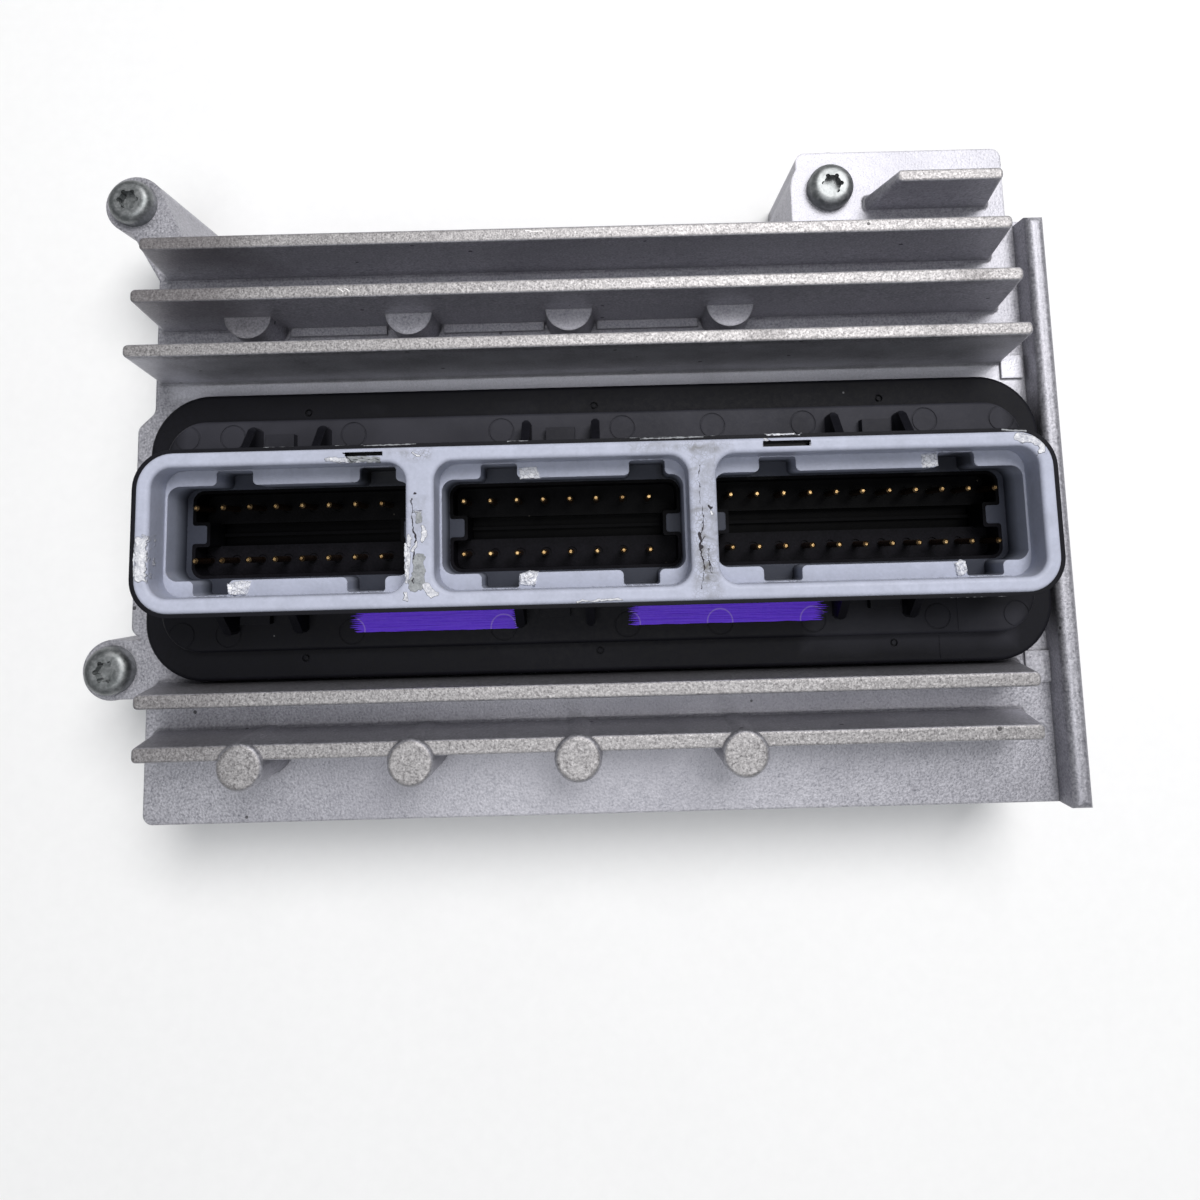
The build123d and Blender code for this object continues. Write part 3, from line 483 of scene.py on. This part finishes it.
greyValues = {
    "grain": {"FineScale": 1700.0, "CoarseScale": 260.0, "FineShare": 0.4},
    "dark": srgb(171, 175, 191), "light": srgb(189, 193, 211),
    "stains": {"Scale": 70.0, "Threshold": 0.45, "Softness": 0.25},
    "stainShare": 0.3, "stain": srgb(159, 163, 175),
    "edges": {"Radius": 0.0004, "Strength": 3.0}, "wornShare": 0.3, "worn": srgb(206, 209, 222),
    # painted shade on the socket walls and on the floors
    "wallBand": (0.0485, 0.0608), "wallFacing": (0.6, 1.1), "deepShare": 0.55, "deep": srgb(112, 120, 134),
    "floorBand": (0.0478, 0.0525), "floorShare": 0.93, "floor": srgb(26, 30, 42),
    # painted shadow colour, for the shadowed corners and the insides of the slots
    "slot": srgb(14, 15, 18),
    "shades": {
        "edge": {"Softness": 0.002, "Ragged": 0.001, "RaggedScale": 200.0},
        "boxes": (
            ((-0.0385, 0.0105, 0.0510), (0.0045, 0.0022, 0.0040), 0.95),
            ((0.0148, 0.0105, 0.0510), (0.0026, 0.0022, 0.0040), 0.9),
            ((0.0705, 0.0105, 0.0510), (0.0060, 0.0022, 0.0040), 0.75),
            ((-0.0560, 0.0096, 0.0560), (0.0200, 0.0018, 0.0004), 0.3))},
    "slots": {
        "edge": {"Softness": 0.0001},
        "boxes": (
            ((-0.03995, 0.01275, 0.0602), (0.0034, 0.0006, 0.0016), 1.0),
            ((0.03335, 0.0127, 0.0602), (0.0044, 0.0007, 0.0016), 1.0))},
    "crazeScale": 1500.0, "crazeBand": (0.02, 0.09), "crazeShare": 0.4,
    "rubbed": {"Scale": 420.0, "Threshold": 0.44, "Softness": 0.2}, "rubbedShare": 0.6,
    "dirt": srgb(98, 95, 86),
    "dirts": {
        "edge": {"Softness": 0.0012, "Ragged": 0.002, "RaggedScale": 300.0},
        "boxes": (
            ((0.0187, 0.0, 0.062), (0.0026, 0.0135, 0.002), 0.75),
            ((0.0180, -0.0045, 0.062), (0.0008, 0.0060, 0.002), 1.0),
            ((0.0192, -0.0080, 0.062), (0.0010, 0.0030, 0.002), 0.9),
            ((-0.0306, 0.001, 0.062), (0.0016, 0.004, 0.002), 0.5),
            ((-0.0310, 0.0125, 0.062), (0.0024, 0.0010, 0.002), 0.8),
            ((0.0150, 0.0126, 0.062), (0.009, 0.0008, 0.002), 0.7),
            ((-0.0320, 0.0128, 0.062), (0.004, 0.0006, 0.002), 0.6))},
    "specks": {"Scale": 260.0, "Size": 0.1, "Amount": 0.05}, "dotShare": 0.6, "dot": srgb(60, 62, 66),
    "fibreGrain": {"FineScale": 2600.0, "CoarseScale": 900.0, "FineShare": 0.4},
    "stockDark": srgb(112, 115, 118), "stockLight": srgb(176, 179, 182), "stockRise": 0.5,
    "roughened": {
        "edge": (900.0, 0.0011), "low": 0.0610, "wobble": 0.0015,
        "lines": (
            (-30.5, -5.4, -30.3, -9.8, 0.95), (-31.0, -8.4, -31.4, -10.3, 0.8),
            (-30.3, -10.2, -31.5, -10.5, 0.6), (-42.4, 11.9, -37.6, 11.6, 0.6),
            (-30.4, 2.2, -30.4, 1.0, 0.4))},
    "crack": srgb(44, 40, 46),
    "cracks": {
        "edge": (1500.0, 0.0003), "low": 0.0612, "wobble": 0.0016,
        "lines": (
            (-31.6, 4.6, -31.6, 1.9, 0.08), (-31.6, 1.9, -31.4, -0.3, 0.13), (-31.4, -0.3, -31.1, -2.6, 0.17),
            (-31.0, -3.0, -31.4, -5.4, 0.10), (-31.3, -8.8, -31.2, -9.7, 0.10), (-31.3, 5.8, -31.1, 5.8, 0.2),
            (-31.6, 2.7, -30.0, 2.8, 0.05), (18.1, 9.0, 17.8, 7.2, 0.05), (17.8, 6.4, 18.1, 5.5, 0.07),
            (18.1, 5.2, 18.0, 3.0, 0.05), (18.0, 2.4, 18.3, 0.6, 0.05), (18.3, 0.6, 17.8, -2.8, 0.08),
            (17.6, -2.6, 17.9, -4.8, 0.26), (18.0, -3.4, 18.4, -3.0, 0.12), (17.8, -5.0, 18.2, -8.2, 0.12),
            (18.2, -8.2, 17.7, -11.5, 0.06), (19.4, 2.2, 19.8, 2.0, 0.2), (18.8, -5.0, 19.3, -9.0, 0.06),
            (19.0, -7.0, 19.7, -8.5, 0.08), (-43.4, 13.1, -41.6, 12.7, 0.16), (-43.0, 12.4, -41.7, 11.2, 0.1),
            (-41.6, 12.0, -37.2, 11.7, 0.07), (30.1, 13.6, 30.5, 12.4, 0.12))},
    "flakes": {
        "edge": (1200.0, 0.0004), "low": 0.0608, "wobble": 0.0014,
        "lines": (
            (-32.35, -4.0, -32.3, -6.4, 0.5), (-32.3, -6.4, -32.45, -9.2, 0.28),
            (-31.5, -4.3, -30.9, -2.8, 0.22), (-32.1, -1.5, -32.1, -3.1, 0.36),
            (-29.75, 0.0, -29.4, -0.9, 0.2), (-29.4, -1.1, -29.7, -2.3, 0.45),
            (-32.65, -11.2, -32.7, -12.3, 0.26), (-29.2, -10.2, -28.2, -11.6, 0.62),
            (-28.0, -11.2, -27.5, -11.4, 0.4), (-31.4, 12.8, -30.3, 12.3, 0.16),
            (-46.3, 12.0, -43.2, 11.7, 0.42), (19.9, 1.4, 20.1, 0.8, 0.18), (29.5, 14.2, 30.0, 13.2, 0.24),
            (-31.5, 2.4, -30.1, 2.5, 0.08), (-3.4, -13.4, 4.0, -13.3, 0.2), (73.6, 12.7, 76.0, 12.4, 0.6),
            (76.0, 12.4, 77.4, 11.3, 0.6), (77.4, 11.3, 77.6, 10.6, 0.3))},
    "tears": {
        "edge": {"Softness": 0.0002, "Ragged": 0.0018, "RaggedScale": 1100.0},
        "boxes": (
            ((-0.0781, -0.0043, 0.062), (0.0010, 0.0038, 0.003)),
            ((0.0752, 0.0125, 0.062), (0.0018, 0.0006, 0.003)),
            ((0.0774, 0.0112, 0.062), (0.0006, 0.0014, 0.003)))},
    "tornDark": srgb(150, 153, 166), "tornLight": srgb(252, 252, 255), "tornBump": 0.0005,
    "rough": (0.34, 0.46), "bump": 0.00004, "specular": 0.15,
}


def glossBlack(name, values):
    material, tree, shader = newMaterial(name)
    texture = place(tree, grain, **values["grain"])
    colour = blendColour(tree, texture.outputs["Value"], values["dark"], values["light"])
    # painted light: the half of each block towards -Y is lighter, where light falls past the shade of the
    # upper wall
    coords = put(tree, "SeparateXYZ", {0: put(tree, "TexCoord").outputs["Object"]})
    paintedLit = spread(tree, coords.outputs["Y"], *values["lowerBand"])
    paintedLitColour = blendColour(tree, texture.outputs["Value"], values["lowerDark"], values["lowerLight"])
    colour = blendColour(tree, paintedLit, colour, paintedLitColour)
    # painted shade: near black deep in the trench between the rows of pins
    colour = blendColour(tree, heightBand(tree, *values["trenchBand"]), values["trench"], colour)
    colour = tintEffect(tree, colour, specks, values["specks"], values["dustShare"], values["dust"])
    cloud = place(tree, stains, **values["stains"])
    rough = spread(tree, cloud.outputs["Mask"], 0.0, 1.0, *values["rough"])
    normal = bump(tree, texture.outputs["Height"], values["bump"])
    feedAll(tree, shader, {"BaseColor": colour, "Roughness": rough, "Normal": normal,
                           "SpecularIORLevel": values["specular"]})
    return material


blockValues = {
    "grain": {"FineScale": 2400.0, "CoarseScale": 500.0}, "dark": srgb(4, 4, 5), "light": srgb(10, 10, 12),
    # painted light on the lower half of the blocks
    "lowerBand": (0.001, -0.004), "lowerDark": srgb(14, 14, 17), "lowerLight": srgb(26, 25, 30),
    # painted shade in the trench
    "trenchBand": (0.0400, 0.0416), "trench": srgb(2, 2, 3),
    "specks": {"Scale": 460.0, "Size": 0.1, "Amount": 0.03}, "dustShare": 0.5, "dust": srgb(84, 80, 74),
    "stains": {"Scale": 160.0, "Threshold": 0.45, "Softness": 0.2},
    "rough": (0.34, 0.5), "bump": 0.00002, "specular": 0.03,
}


def platedMetal(name, values):
    material, tree, shader = newMaterial(name)
    texture = place(tree, grain, **values["grain"])
    colour = blendColour(tree, texture.outputs["Value"], values["dark"], values["light"])
    colour = tintEffect(tree, colour, stains, values["stains"], values["stainShare"], values["stain"])
    if "shaft" in values:
        colour = blendColour(tree, heightBand(tree, *values["tipBand"]), values["shaft"], colour)
    rough = spread(tree, texture.outputs["Value"], 0.0, 1.0, *values["rough"])
    normal = bump(tree, texture.outputs["Height"], values["bump"])
    feedAll(tree, shader, {"BaseColor": colour, "Metallic": 1.0, "Roughness": rough, "Normal": normal})
    return material


goldValues = {
    "grain": {"FineScale": 3000.0, "CoarseScale": 1200.0},
    "dark": srgb(146, 110, 66), "light": srgb(216, 186, 134),
    "stains": {"Scale": 900.0, "Threshold": 0.45, "Softness": 0.18},
    "stainShare": 0.85, "stain": srgb(74, 48, 26), "rough": (0.2, 0.38), "bump": 0.00001,
}
zincValues = {
    "grain": {"FineScale": 1800.0, "CoarseScale": 600.0},
    "dark": srgb(118, 121, 122), "light": srgb(164, 166, 167),
    "stains": {"Scale": 420.0, "Threshold": 0.45, "Softness": 0.18},
    "stainShare": 0.55, "stain": srgb(94, 99, 99), "rough": (0.4, 0.58), "bump": 0.00003,
}
pinValues = dict(goldValues, shaft=srgb(120, 86, 52), tipBand=(0.0487, 0.0494))
brassValues = dict(goldValues, dark=srgb(190, 160, 96), light=srgb(222, 194, 128), stainShare=0.25)
copperValues = dict(goldValues, dark=srgb(150, 78, 44), light=srgb(206, 124, 82), stainShare=0.2)
tinValues = dict(zincValues, dark=srgb(190, 190, 188), light=srgb(224, 224, 222), stainShare=0.2)
canValues = dict(zincValues, dark=srgb(196, 198, 202), light=srgb(226, 228, 232), stainShare=0.1)


def plainMatter(name, values):
    # boards, chips, rubber and the other quiet parts
    material, tree, shader = newMaterial(name)
    texture = place(tree, grain, **values["grain"])
    colour = blendColour(tree, texture.outputs["Value"], values["dark"], values["light"])
    colour = tintEffect(tree, colour, stains, values["stains"], values["wornShare"], values["worn"])
    normal = bump(tree, texture.outputs["Height"], values["bump"])
    rough = spread(tree, texture.outputs["Value"], 0.0, 1.0, *values["rough"])
    feedAll(tree, shader, {"BaseColor": colour, "Roughness": rough, "Normal": normal})
    return material


rubberValues = {
    "grain": {"FineScale": 2500.0, "CoarseScale": 300.0}, "dark": srgb(22, 22, 23), "light": srgb(36, 36, 37),
    "stains": {"Scale": 140.0, "Threshold": 0.5, "Softness": 0.3},
    "wornShare": 0.25, "worn": srgb(60, 60, 60), "rough": (0.67, 0.83), "bump": 0.00004,
}
boardValues = dict(
    rubberValues, grain={"FineScale": 2500.0, "CoarseScale": 120.0}, dark=srgb(18, 78, 44),
    light=srgb(30, 98, 58), worn=srgb(150, 160, 120), rough=(0.27, 0.43), bump=0.00002)
chipValues = dict(
    rubberValues, grain={"FineScale": 3000.0, "CoarseScale": 700.0}, dark=srgb(30, 30, 31),
    light=srgb(44, 44, 45), worn=srgb(80, 80, 80), rough=(0.47, 0.63), bump=0.00003)
foilValues = dict(
    rubberValues, grain={"FineScale": 1500.0, "CoarseScale": 300.0}, dark=srgb(150, 150, 158),
    light=srgb(176, 176, 184), worn=srgb(190, 190, 196), rough=(0.52, 0.68), bump=0.00004)
ferriteValues = dict(
    rubberValues, grain={"FineScale": 1600.0, "CoarseScale": 500.0}, dark=srgb(48, 48, 50),
    light=srgb(70, 70, 72), worn=srgb(96, 96, 98), rough=(0.52, 0.68), bump=0.00005)


def violetPaint(name, values):
    material, tree, shader = newMaterial(name)
    texture = place(tree, grain, **values["grain"])
    colour = blendColour(tree, texture.outputs["Value"], values["dark"], values["light"])
    coords = put(tree, "TexCoord").outputs["Object"]

    # the round marks of the header show through
    flat = put(tree, "VectorMath", {0: coords, 1: (1, 1, 0)}, operation="MULTIPLY").outputs[0]
    for x in values["rings"]:
        middle = (x * millimetre, values["ringY"], 0)
        away = put(tree, "VectorMath", {0: flat, 1: middle}, operation="DISTANCE").outputs["Value"]
        away = math2(tree, "ABSOLUTE", math2(tree, "SUBTRACT", away, values["ringRadius"]))
        line = spread(tree, away, *values["ringBand"], values["ringShare"], 0.0)
        colour = blendColour(tree, line, colour, values["ring"])

    # thin places along the brush's way
    along = put(tree, "VectorMath", {0: coords, 1: values["streak"]}, operation="MULTIPLY").outputs[0]
    streaks = put(tree, "TexNoise", {"Vector": along, "Scale": 1.0, "Detail": 3.0}).outputs["Fac"]
    thin = spread(tree, streaks, *values["thinBand"], 0.0, values["thinShare"])
    colour = blendColour(tree, thin, colour, values["thin"])
    normal = bump(tree, texture.outputs["Height"], values["bump"])
    normal = bump(tree, streaks, values["streakBump"], normal)
    feedAll(tree, shader, {"BaseColor": colour, "Roughness": values["rough"], "Normal": normal,
                           "SpecularIORLevel": values["specular"]})
    return material


paintValues = {
    "grain": {"FineScale": 2200.0, "CoarseScale": 500.0},
    "dark": srgb(104, 46, 250), "light": srgb(120, 60, 255),
    "rings": (-47.0, -18.2, 5.4, 23.0, 40.7), "ringY": -0.0188, "ringRadius": 0.0024,
    "ringBand": (0.00006, 0.00018), "ringShare": 0.75, "ring": srgb(170, 138, 250),
    "streak": (90.0, 2600.0, 0.0), "thinBand": (0.52, 0.72), "thinShare": 0.3, "thin": srgb(70, 28, 180),
    "rough": 0.45, "bump": 0.00008, "streakBump": 0.00012, "specular": 0.3,
}


def tornPlastic(name, values):
    material, tree, shader = newMaterial(name)
    texture = place(tree, grain, **values["grain"])
    colour = blendColour(tree, texture.outputs["Value"], values["dark"], values["light"])
    # painted shade along the creases of the crumpled flakes
    cells = {"Vector": put(tree, "TexCoord").outputs["Object"], "Scale": values["foldScale"]}
    paintedFoldMask = put(tree, "TexVoronoi", cells, feature="DISTANCE_TO_EDGE").outputs["Distance"]
    paintedFoldMask = spread(tree, paintedFoldMask, *values["foldBand"], values["foldShare"], 0.0)
    colour = blendColour(tree, paintedFoldMask, colour, values["fold"])
    normal = bump(tree, texture.outputs["Height"], values["bump"])
    feedAll(tree, shader, {"BaseColor": colour, "Roughness": values["rough"], "Normal": normal})
    return material


tornValues = {
    "grain": {"FineScale": 1500.0, "CoarseScale": 600.0},
    "dark": srgb(182, 185, 197), "light": srgb(252, 252, 254),
    # painted shade in the creases
    "foldScale": 1100.0, "foldBand": (0.01, 0.06), "foldShare": 0.6, "fold": srgb(96, 98, 108),
    "rough": 0.45, "bump": 0.0003,
}

finishes = {
    "castMetal": (castMetal, castValues, ["heat_sink_housing"]),
    "coverMetal": (castMetal, coverValues, ["rear_cover"]),
    "blackPlastic": (blackPlastic, blackValues, ["header_base", "link_receptacle", "link_plug"]),
    "greyPlastic": (greyPlastic, greyValues, ["socket_shroud"]),
    "glossBlack": (glossBlack, blockValues, ["pin_block_left", "pin_block_centre", "pin_block_right"]),
    "pinGold": (platedMetal, pinValues, ["pins_left", "pins_centre", "pins_right"]),
    "zincSteel": (
        platedMetal, zincValues,
        ["case_screws", "rear_screws", "header_screws", "power_board_screws", "logic_board_screws"]),
    "tinned": (platedMetal, tinValues, ["transistor_leads", "chip_leads"]),
    "canMetal": (platedMetal, canValues, ["storage_capacitors"]),
    "spacerBrass": (platedMetal, brassValues, ["logic_board_spacers"]),
    "coilCopper": (platedMetal, copperValues, ["inductor_coils"]),
    "sealRubber": (plainMatter, rubberValues, ["cover_gasket", "header_seal"]),
    "boardGreen": (plainMatter, boardValues, ["power_board", "logic_board"]),
    "chipBlack": (
        plainMatter, chipValues,
        ["power_transistors", "processor", "memory_chip", "supply_chip", "injector_driver", "bus_chip"]),
    "foilGrey": (plainMatter, foilValues, ["heat_foils"]),
    "ferriteGrey": (plainMatter, ferriteValues, ["inductor_cores"]),
}
for name, (make, values, nodes) in finishes.items():
    material = make(name, values)
    for node in nodes:
        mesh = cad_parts[node].data
        mesh.materials.clear()
        mesh.materials.append(material)
print("materials made")


def addPiece(name, mesh, material):
    piece = bpy.data.objects.new(name, mesh)
    bpy.context.scene.collection.objects.link(piece)
    mesh.materials.append(material)
    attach(piece, "root")
    return piece


# Strokes of violet paint on the header's lower step, in millimetres

strokes = {
    "seed": 5, "plateau": 42.0, "thick": 0.05, "sink": 0.02, "sides": 60, "ends": 23,
    "wave": 0.12, "waveScale": 0.35, "waveRows": (2.0, 9.0), "out": (0.2, 1.0), "in": (-0.8, -0.1),
    "left": {"x": (-46.0, -16.0), "y": (-14.9, -19.1), "fray": (1.6, 1.0)},
    "right": {"x": (6.8, 42.0), "y": (-15.2, -19.05), "fray": (1.5, 2.0)},
}


def paintStroke(name, values):
    # a thin slab with wavy sides and frayed ends
    x0, x1 = values["x"]
    y1, y0 = values["y"]

    def wavy(y, row):
        made = []
        for i in range(strokes["sides"] + 1):
            x = x0 + (x1 - x0) * i / strokes["sides"]
            made.append((x, y + strokes["wave"] * noise.noise((x * strokes["waveScale"], row, 0.0))))
        return made

    def frayed(x, reach, steps):
        made = []
        for i in steps:
            past = reach * random.uniform(*strokes["out" if i % 2 else "in"])
            made.append((x + past, y0 + (y1 - y0) * i / strokes["ends"]))
        return made

    steps = range(1, strokes["ends"])
    outline = wavy(y0, strokes["waveRows"][0]) + frayed(x1, values["fray"][1], steps)
    outline += wavy(y1, strokes["waveRows"][1])[::-1] + frayed(x0, -values["fray"][0], steps[::-1])
    mesh = bpy.data.meshes.new(name)
    shape = bmesh.new()
    low = (strokes["plateau"] - strokes["sink"]) * millimetre
    face = shape.faces.new([shape.verts.new((x * millimetre, y * millimetre, low)) for x, y in outline])
    if face.normal.z > 0:
        face.normal_flip()
    risen = bmesh.ops.extrude_face_region(shape, geom=[face])
    raised = [vertex for vertex in risen["geom"] if isinstance(vertex, bmesh.types.BMVert)]
    up = (0, 0, (strokes["thick"] + strokes["sink"]) * millimetre)
    bmesh.ops.translate(shape, verts=raised, vec=up)
    bmesh.ops.recalc_face_normals(shape, faces=shape.faces)
    shape.to_mesh(mesh)
    shape.free()
    return mesh


random.seed(strokes["seed"])
violet = violetPaint("violetPaint", paintValues)
for side in ("left", "right"):
    name = "paint_stroke_" + side
    addPiece(name, paintStroke(name, strokes[side]), violet)
print("paint strokes made")


# Torn and lifted plastic, in millimetres. Each shred has the height it lies on, how far it rises
# and its outline.

shreds = {
    "seed": 11, "step": 0.3, "sink": 0.06, "rings": (0.86, 0.62, 0.34), "jitter": 0.09,
    "noiseScale": 1.7, "mean": 0.5, "swing": 0.8, "lowest": 0.1, "crown": 0.6,
    "pieces": {
        "divider_sliver": (61.55, 0.4, (
            (-33.0, -2.8), (-31.6, -2.4), (-31.2, -3.6), (-31.9, -5.0), (-32.2, -7.3), (-32.5, -9.4),
            (-32.9, -8.2), (-33.0, -5.0))),
        "divider_tip_left": (61.6, 0.35, ((-33.3, -11.0), (-32.2, -11.2), (-32.7, -12.9))),
        "divider_tip_right": (61.55, 0.4, (
            (-29.2, -10.3), (-28.4, -9.8), (-27.5, -10.5), (-27.2, -11.5), (-28.1, -12.5))),
        "divider_upper": (61.6, 0.35, (
            (-32.6, 3.7), (-31.9, 3.9), (-32.0, 1.1), (-31.7, -1.8), (-32.4, -1.9))),
        "pad_centre_upper": (55.8, 0.3, ((-13.8, 10.2), (-10.4, 10.5), (-9.8, 8.3), (-13.5, 8.2))),
        "pad_centre_lower": (55.8, 0.8, (
            (-13.8, -8.6), (-12.0, -8.1), (-10.4, -8.3), (-11.1, -10.9), (-12.5, -10.7), (-14.0, -10.5))),
        "pad_left_lower": (55.8, 0.7, (
            (-65.6, -9.0), (-63.3, -8.5), (-61.1, -8.6), (-62.0, -11.1), (-63.9, -11.1), (-65.3, -11.0))),
        "pad_right_upper": (55.8, 0.45, (
            (58.4, 10.8), (61.5, 11.1), (61.5, 8.7), (60.0, 8.3), (58.6, 8.4))),
        "pad_right_lower": (55.8, 0.7, (
            (63.0, -8.7), (64.2, -8.1), (65.1, -8.3), (65.4, -10.3), (64.3, -11.1), (63.4, -11.0))),
        "rim_left_outer": (61.5, 0.45, (
            (-79.3, -0.3), (-78.7, -0.2), (-78.6, -4.0), (-78.6, -8.0), (-79.3, -7.6), (-79.3, -4.0))),
        "rim_left_inner": (61.5, 0.45, (
            (-77.6, -0.8), (-77.0, -1.0), (-77.0, -4.6), (-77.1, -7.6), (-77.6, -7.8))),
        "rim_corner": (61.6, 0.38, (
            (73.4, 13.3), (74.3, 13.6), (76.2, 13.0), (77.3, 12.1), (78.0, 11.4), (77.6, 10.3),
            (76.9, 10.9), (75.3, 11.3), (74.5, 11.8), (73.3, 12.1))),
        "rim_slot_tear": (61.4, 0.5, (
            (-46.3, 11.7), (-43.2, 11.9), (-40.6, 11.7), (-36.6, 11.9), (-37.1, 11.3), (-43.1, 11.3))),
        "slot_flap": (61.4, 0.3, ((29.6, 14.45), (36.0, 14.45), (36.2, 14.2), (33.9, 14.22), (29.7, 14.2))),
        "slot_end": (61.6, 0.38, ((37.4, 12.9), (38.3, 12.9), (38.3, 11.8), (37.2, 11.5))),
    },
}


def tornShred(name, base, rise, outline):
    # a crumpled lump: rings that close in on the middle, with uneven heights, on a flat sunk bottom
    edge = []
    for (x0, y0), (x1, y1) in zip(outline, outline[1:] + outline[:1]):
        parts = max(1, round(math.dist((x0, y0), (x1, y1)) / shreds["step"]))
        edge += [(x0 + (x1 - x0) * i / parts, y0 + (y1 - y0) * i / parts) for i in range(parts)]
    count = len(edge)
    middle = (sum(x for x, y in edge) / count, sum(y for x, y in edge) / count)
    shape = bmesh.new()

    def vertex(x, y, z):
        return shape.verts.new((x * millimetre, y * millimetre, z * millimetre))

    def ring(share, lifted):
        made = []
        for x, y in edge:
            x = middle[0] + (x - middle[0]) * share + random.uniform(-1, 1) * shreds["jitter"]
            y = middle[1] + (y - middle[1]) * share + random.uniform(-1, 1) * shreds["jitter"]
            point = (x * shreds["noiseScale"], y * shreds["noiseScale"], base)
            height = shreds["mean"] + shreds["swing"] * noise.noise(point)
            height = rise * min(1.0, max(shreds["lowest"], height))
            made.append(vertex(x, y, base + height if lifted else base - shreds["sink"]))
        return made

    rings = [ring(1.0, False)] + [ring(share, True) for share in shreds["rings"]]
    top = vertex(*middle, base + rise * shreds["crown"])
    for outer, inner in zip(rings, rings[1:]):
        for i in range(count):
            j = (i + 1) % count
            shape.faces.new((outer[i], outer[j], inner[j]))
            shape.faces.new((outer[i], inner[j], inner[i]))
    for i in range(count):
        shape.faces.new((rings[-1][i], rings[-1][(i + 1) % count], top))
    shape.faces.new(rings[0])
    bmesh.ops.recalc_face_normals(shape, faces=shape.faces)
    mesh = bpy.data.meshes.new(name)
    shape.to_mesh(mesh)
    shape.free()
    return mesh


random.seed(shreds["seed"])
torn = tornPlastic("tornPlastic", tornValues)
for part, (base, rise, outline) in shreds["pieces"].items():
    name = "torn_" + part
    addPiece(name, tornShred(name, base, rise, outline), torn)
print("torn plastic made")


# Stage, lights and camera

stage = {
    "half": 3.0, "gap": 0.00005, "dark": (0.90, 0.90, 0.90, 1), "light": (0.93, 0.93, 0.93, 1),
    "grain": {"FineScale": 300.0, "CoarseScale": 20.0}, "rough": 0.8,
    "skyColour": (0.93, 0.96, 1.0, 1), "skyStrength": 0.22,
}


def addStage():
    mesh = bpy.data.meshes.new("floor")
    half = stage["half"]
    corners = [(-half, -half, 0), (half, -half, 0), (half, half, 0), (-half, half, 0)]
    mesh.from_pydata(corners, [], [(0, 1, 2, 3)])
    floor = bpy.data.objects.new("floor", mesh)
    bpy.context.scene.collection.objects.link(floor)
    floor.location.z = cadLow.z - stage["gap"]
    material, tree, shader = newMaterial("floorPale")
    texture = place(tree, grain, **stage["grain"])
    colour = blendColour(tree, texture.outputs["Value"], stage["dark"], stage["light"])
    feedAll(tree, shader, {"BaseColor": colour, "Roughness": stage["rough"]})
    mesh.materials.append(material)


lamps = {
    "key": {"at": (0.25, 0.45, 1.0), "size": 0.5, "watts": 10.0, "colour": (1.0, 0.99, 0.98)},
    "fill": {"at": (-0.06, -0.30, 1.12), "size": 0.6, "watts": 3.4, "colour": (0.98, 0.99, 1.0)},
}


def addLamps():
    for name, values in lamps.items():
        data = bpy.data.lights.new(name, "AREA")
        data.shape = "SQUARE"
        data.size = values["size"]
        data.energy = values["watts"]
        data.color = values["colour"]
        lamp = bpy.data.objects.new(name, data)
        bpy.context.scene.collection.objects.link(lamp)
        at = Vector(values["at"])
        lamp.location = at
        lamp.rotation_euler = (-at).to_track_quat("-Z", "Y").to_euler()


def addSky():
    world = bpy.data.worlds.new("studio")
    bpy.context.scene.world = world
    world.use_nodes = True
    inputs = world.node_tree.nodes["Background"].inputs
    inputs["Color"].default_value = stage["skyColour"]
    inputs["Strength"].default_value = stage["skyStrength"]


# The photograph's view: place in metres, turns in radians, focal length in pixels of a 1200 pixel frame
view = {
    "at": (0.00075, -0.00549, 0.22191), "tilt": 0.12022, "yaw": -0.00154, "roll": -0.0259,
    "focal": 930.0, "frame": 1200.0, "centreY": 441.63, "sensor": 36.0, "near": 0.01,
}


def addCamera():
    data = bpy.data.cameras.new("camera")
    data.sensor_width = view["sensor"]
    data.lens = view["focal"] / view["frame"] * view["sensor"]
    data.shift_y = (view["centreY"] - view["frame"] / 2) / view["frame"]
    data.clip_start = view["near"]
    camera = bpy.data.objects.new("camera", data)
    bpy.context.scene.collection.objects.link(camera)
    turn = Matrix.Rotation(view["tilt"], 4, "X") @ Matrix.Rotation(view["yaw"], 4, "Y")
    camera.matrix_world = Matrix.Translation(view["at"]) @ turn @ Matrix.Rotation(view["roll"], 4, "Z")
    bpy.context.scene.camera = camera


addStage()
addLamps()
addSky()
addCamera()
bpy.context.scene.view_settings.view_transform = "Standard"
print("stage set")
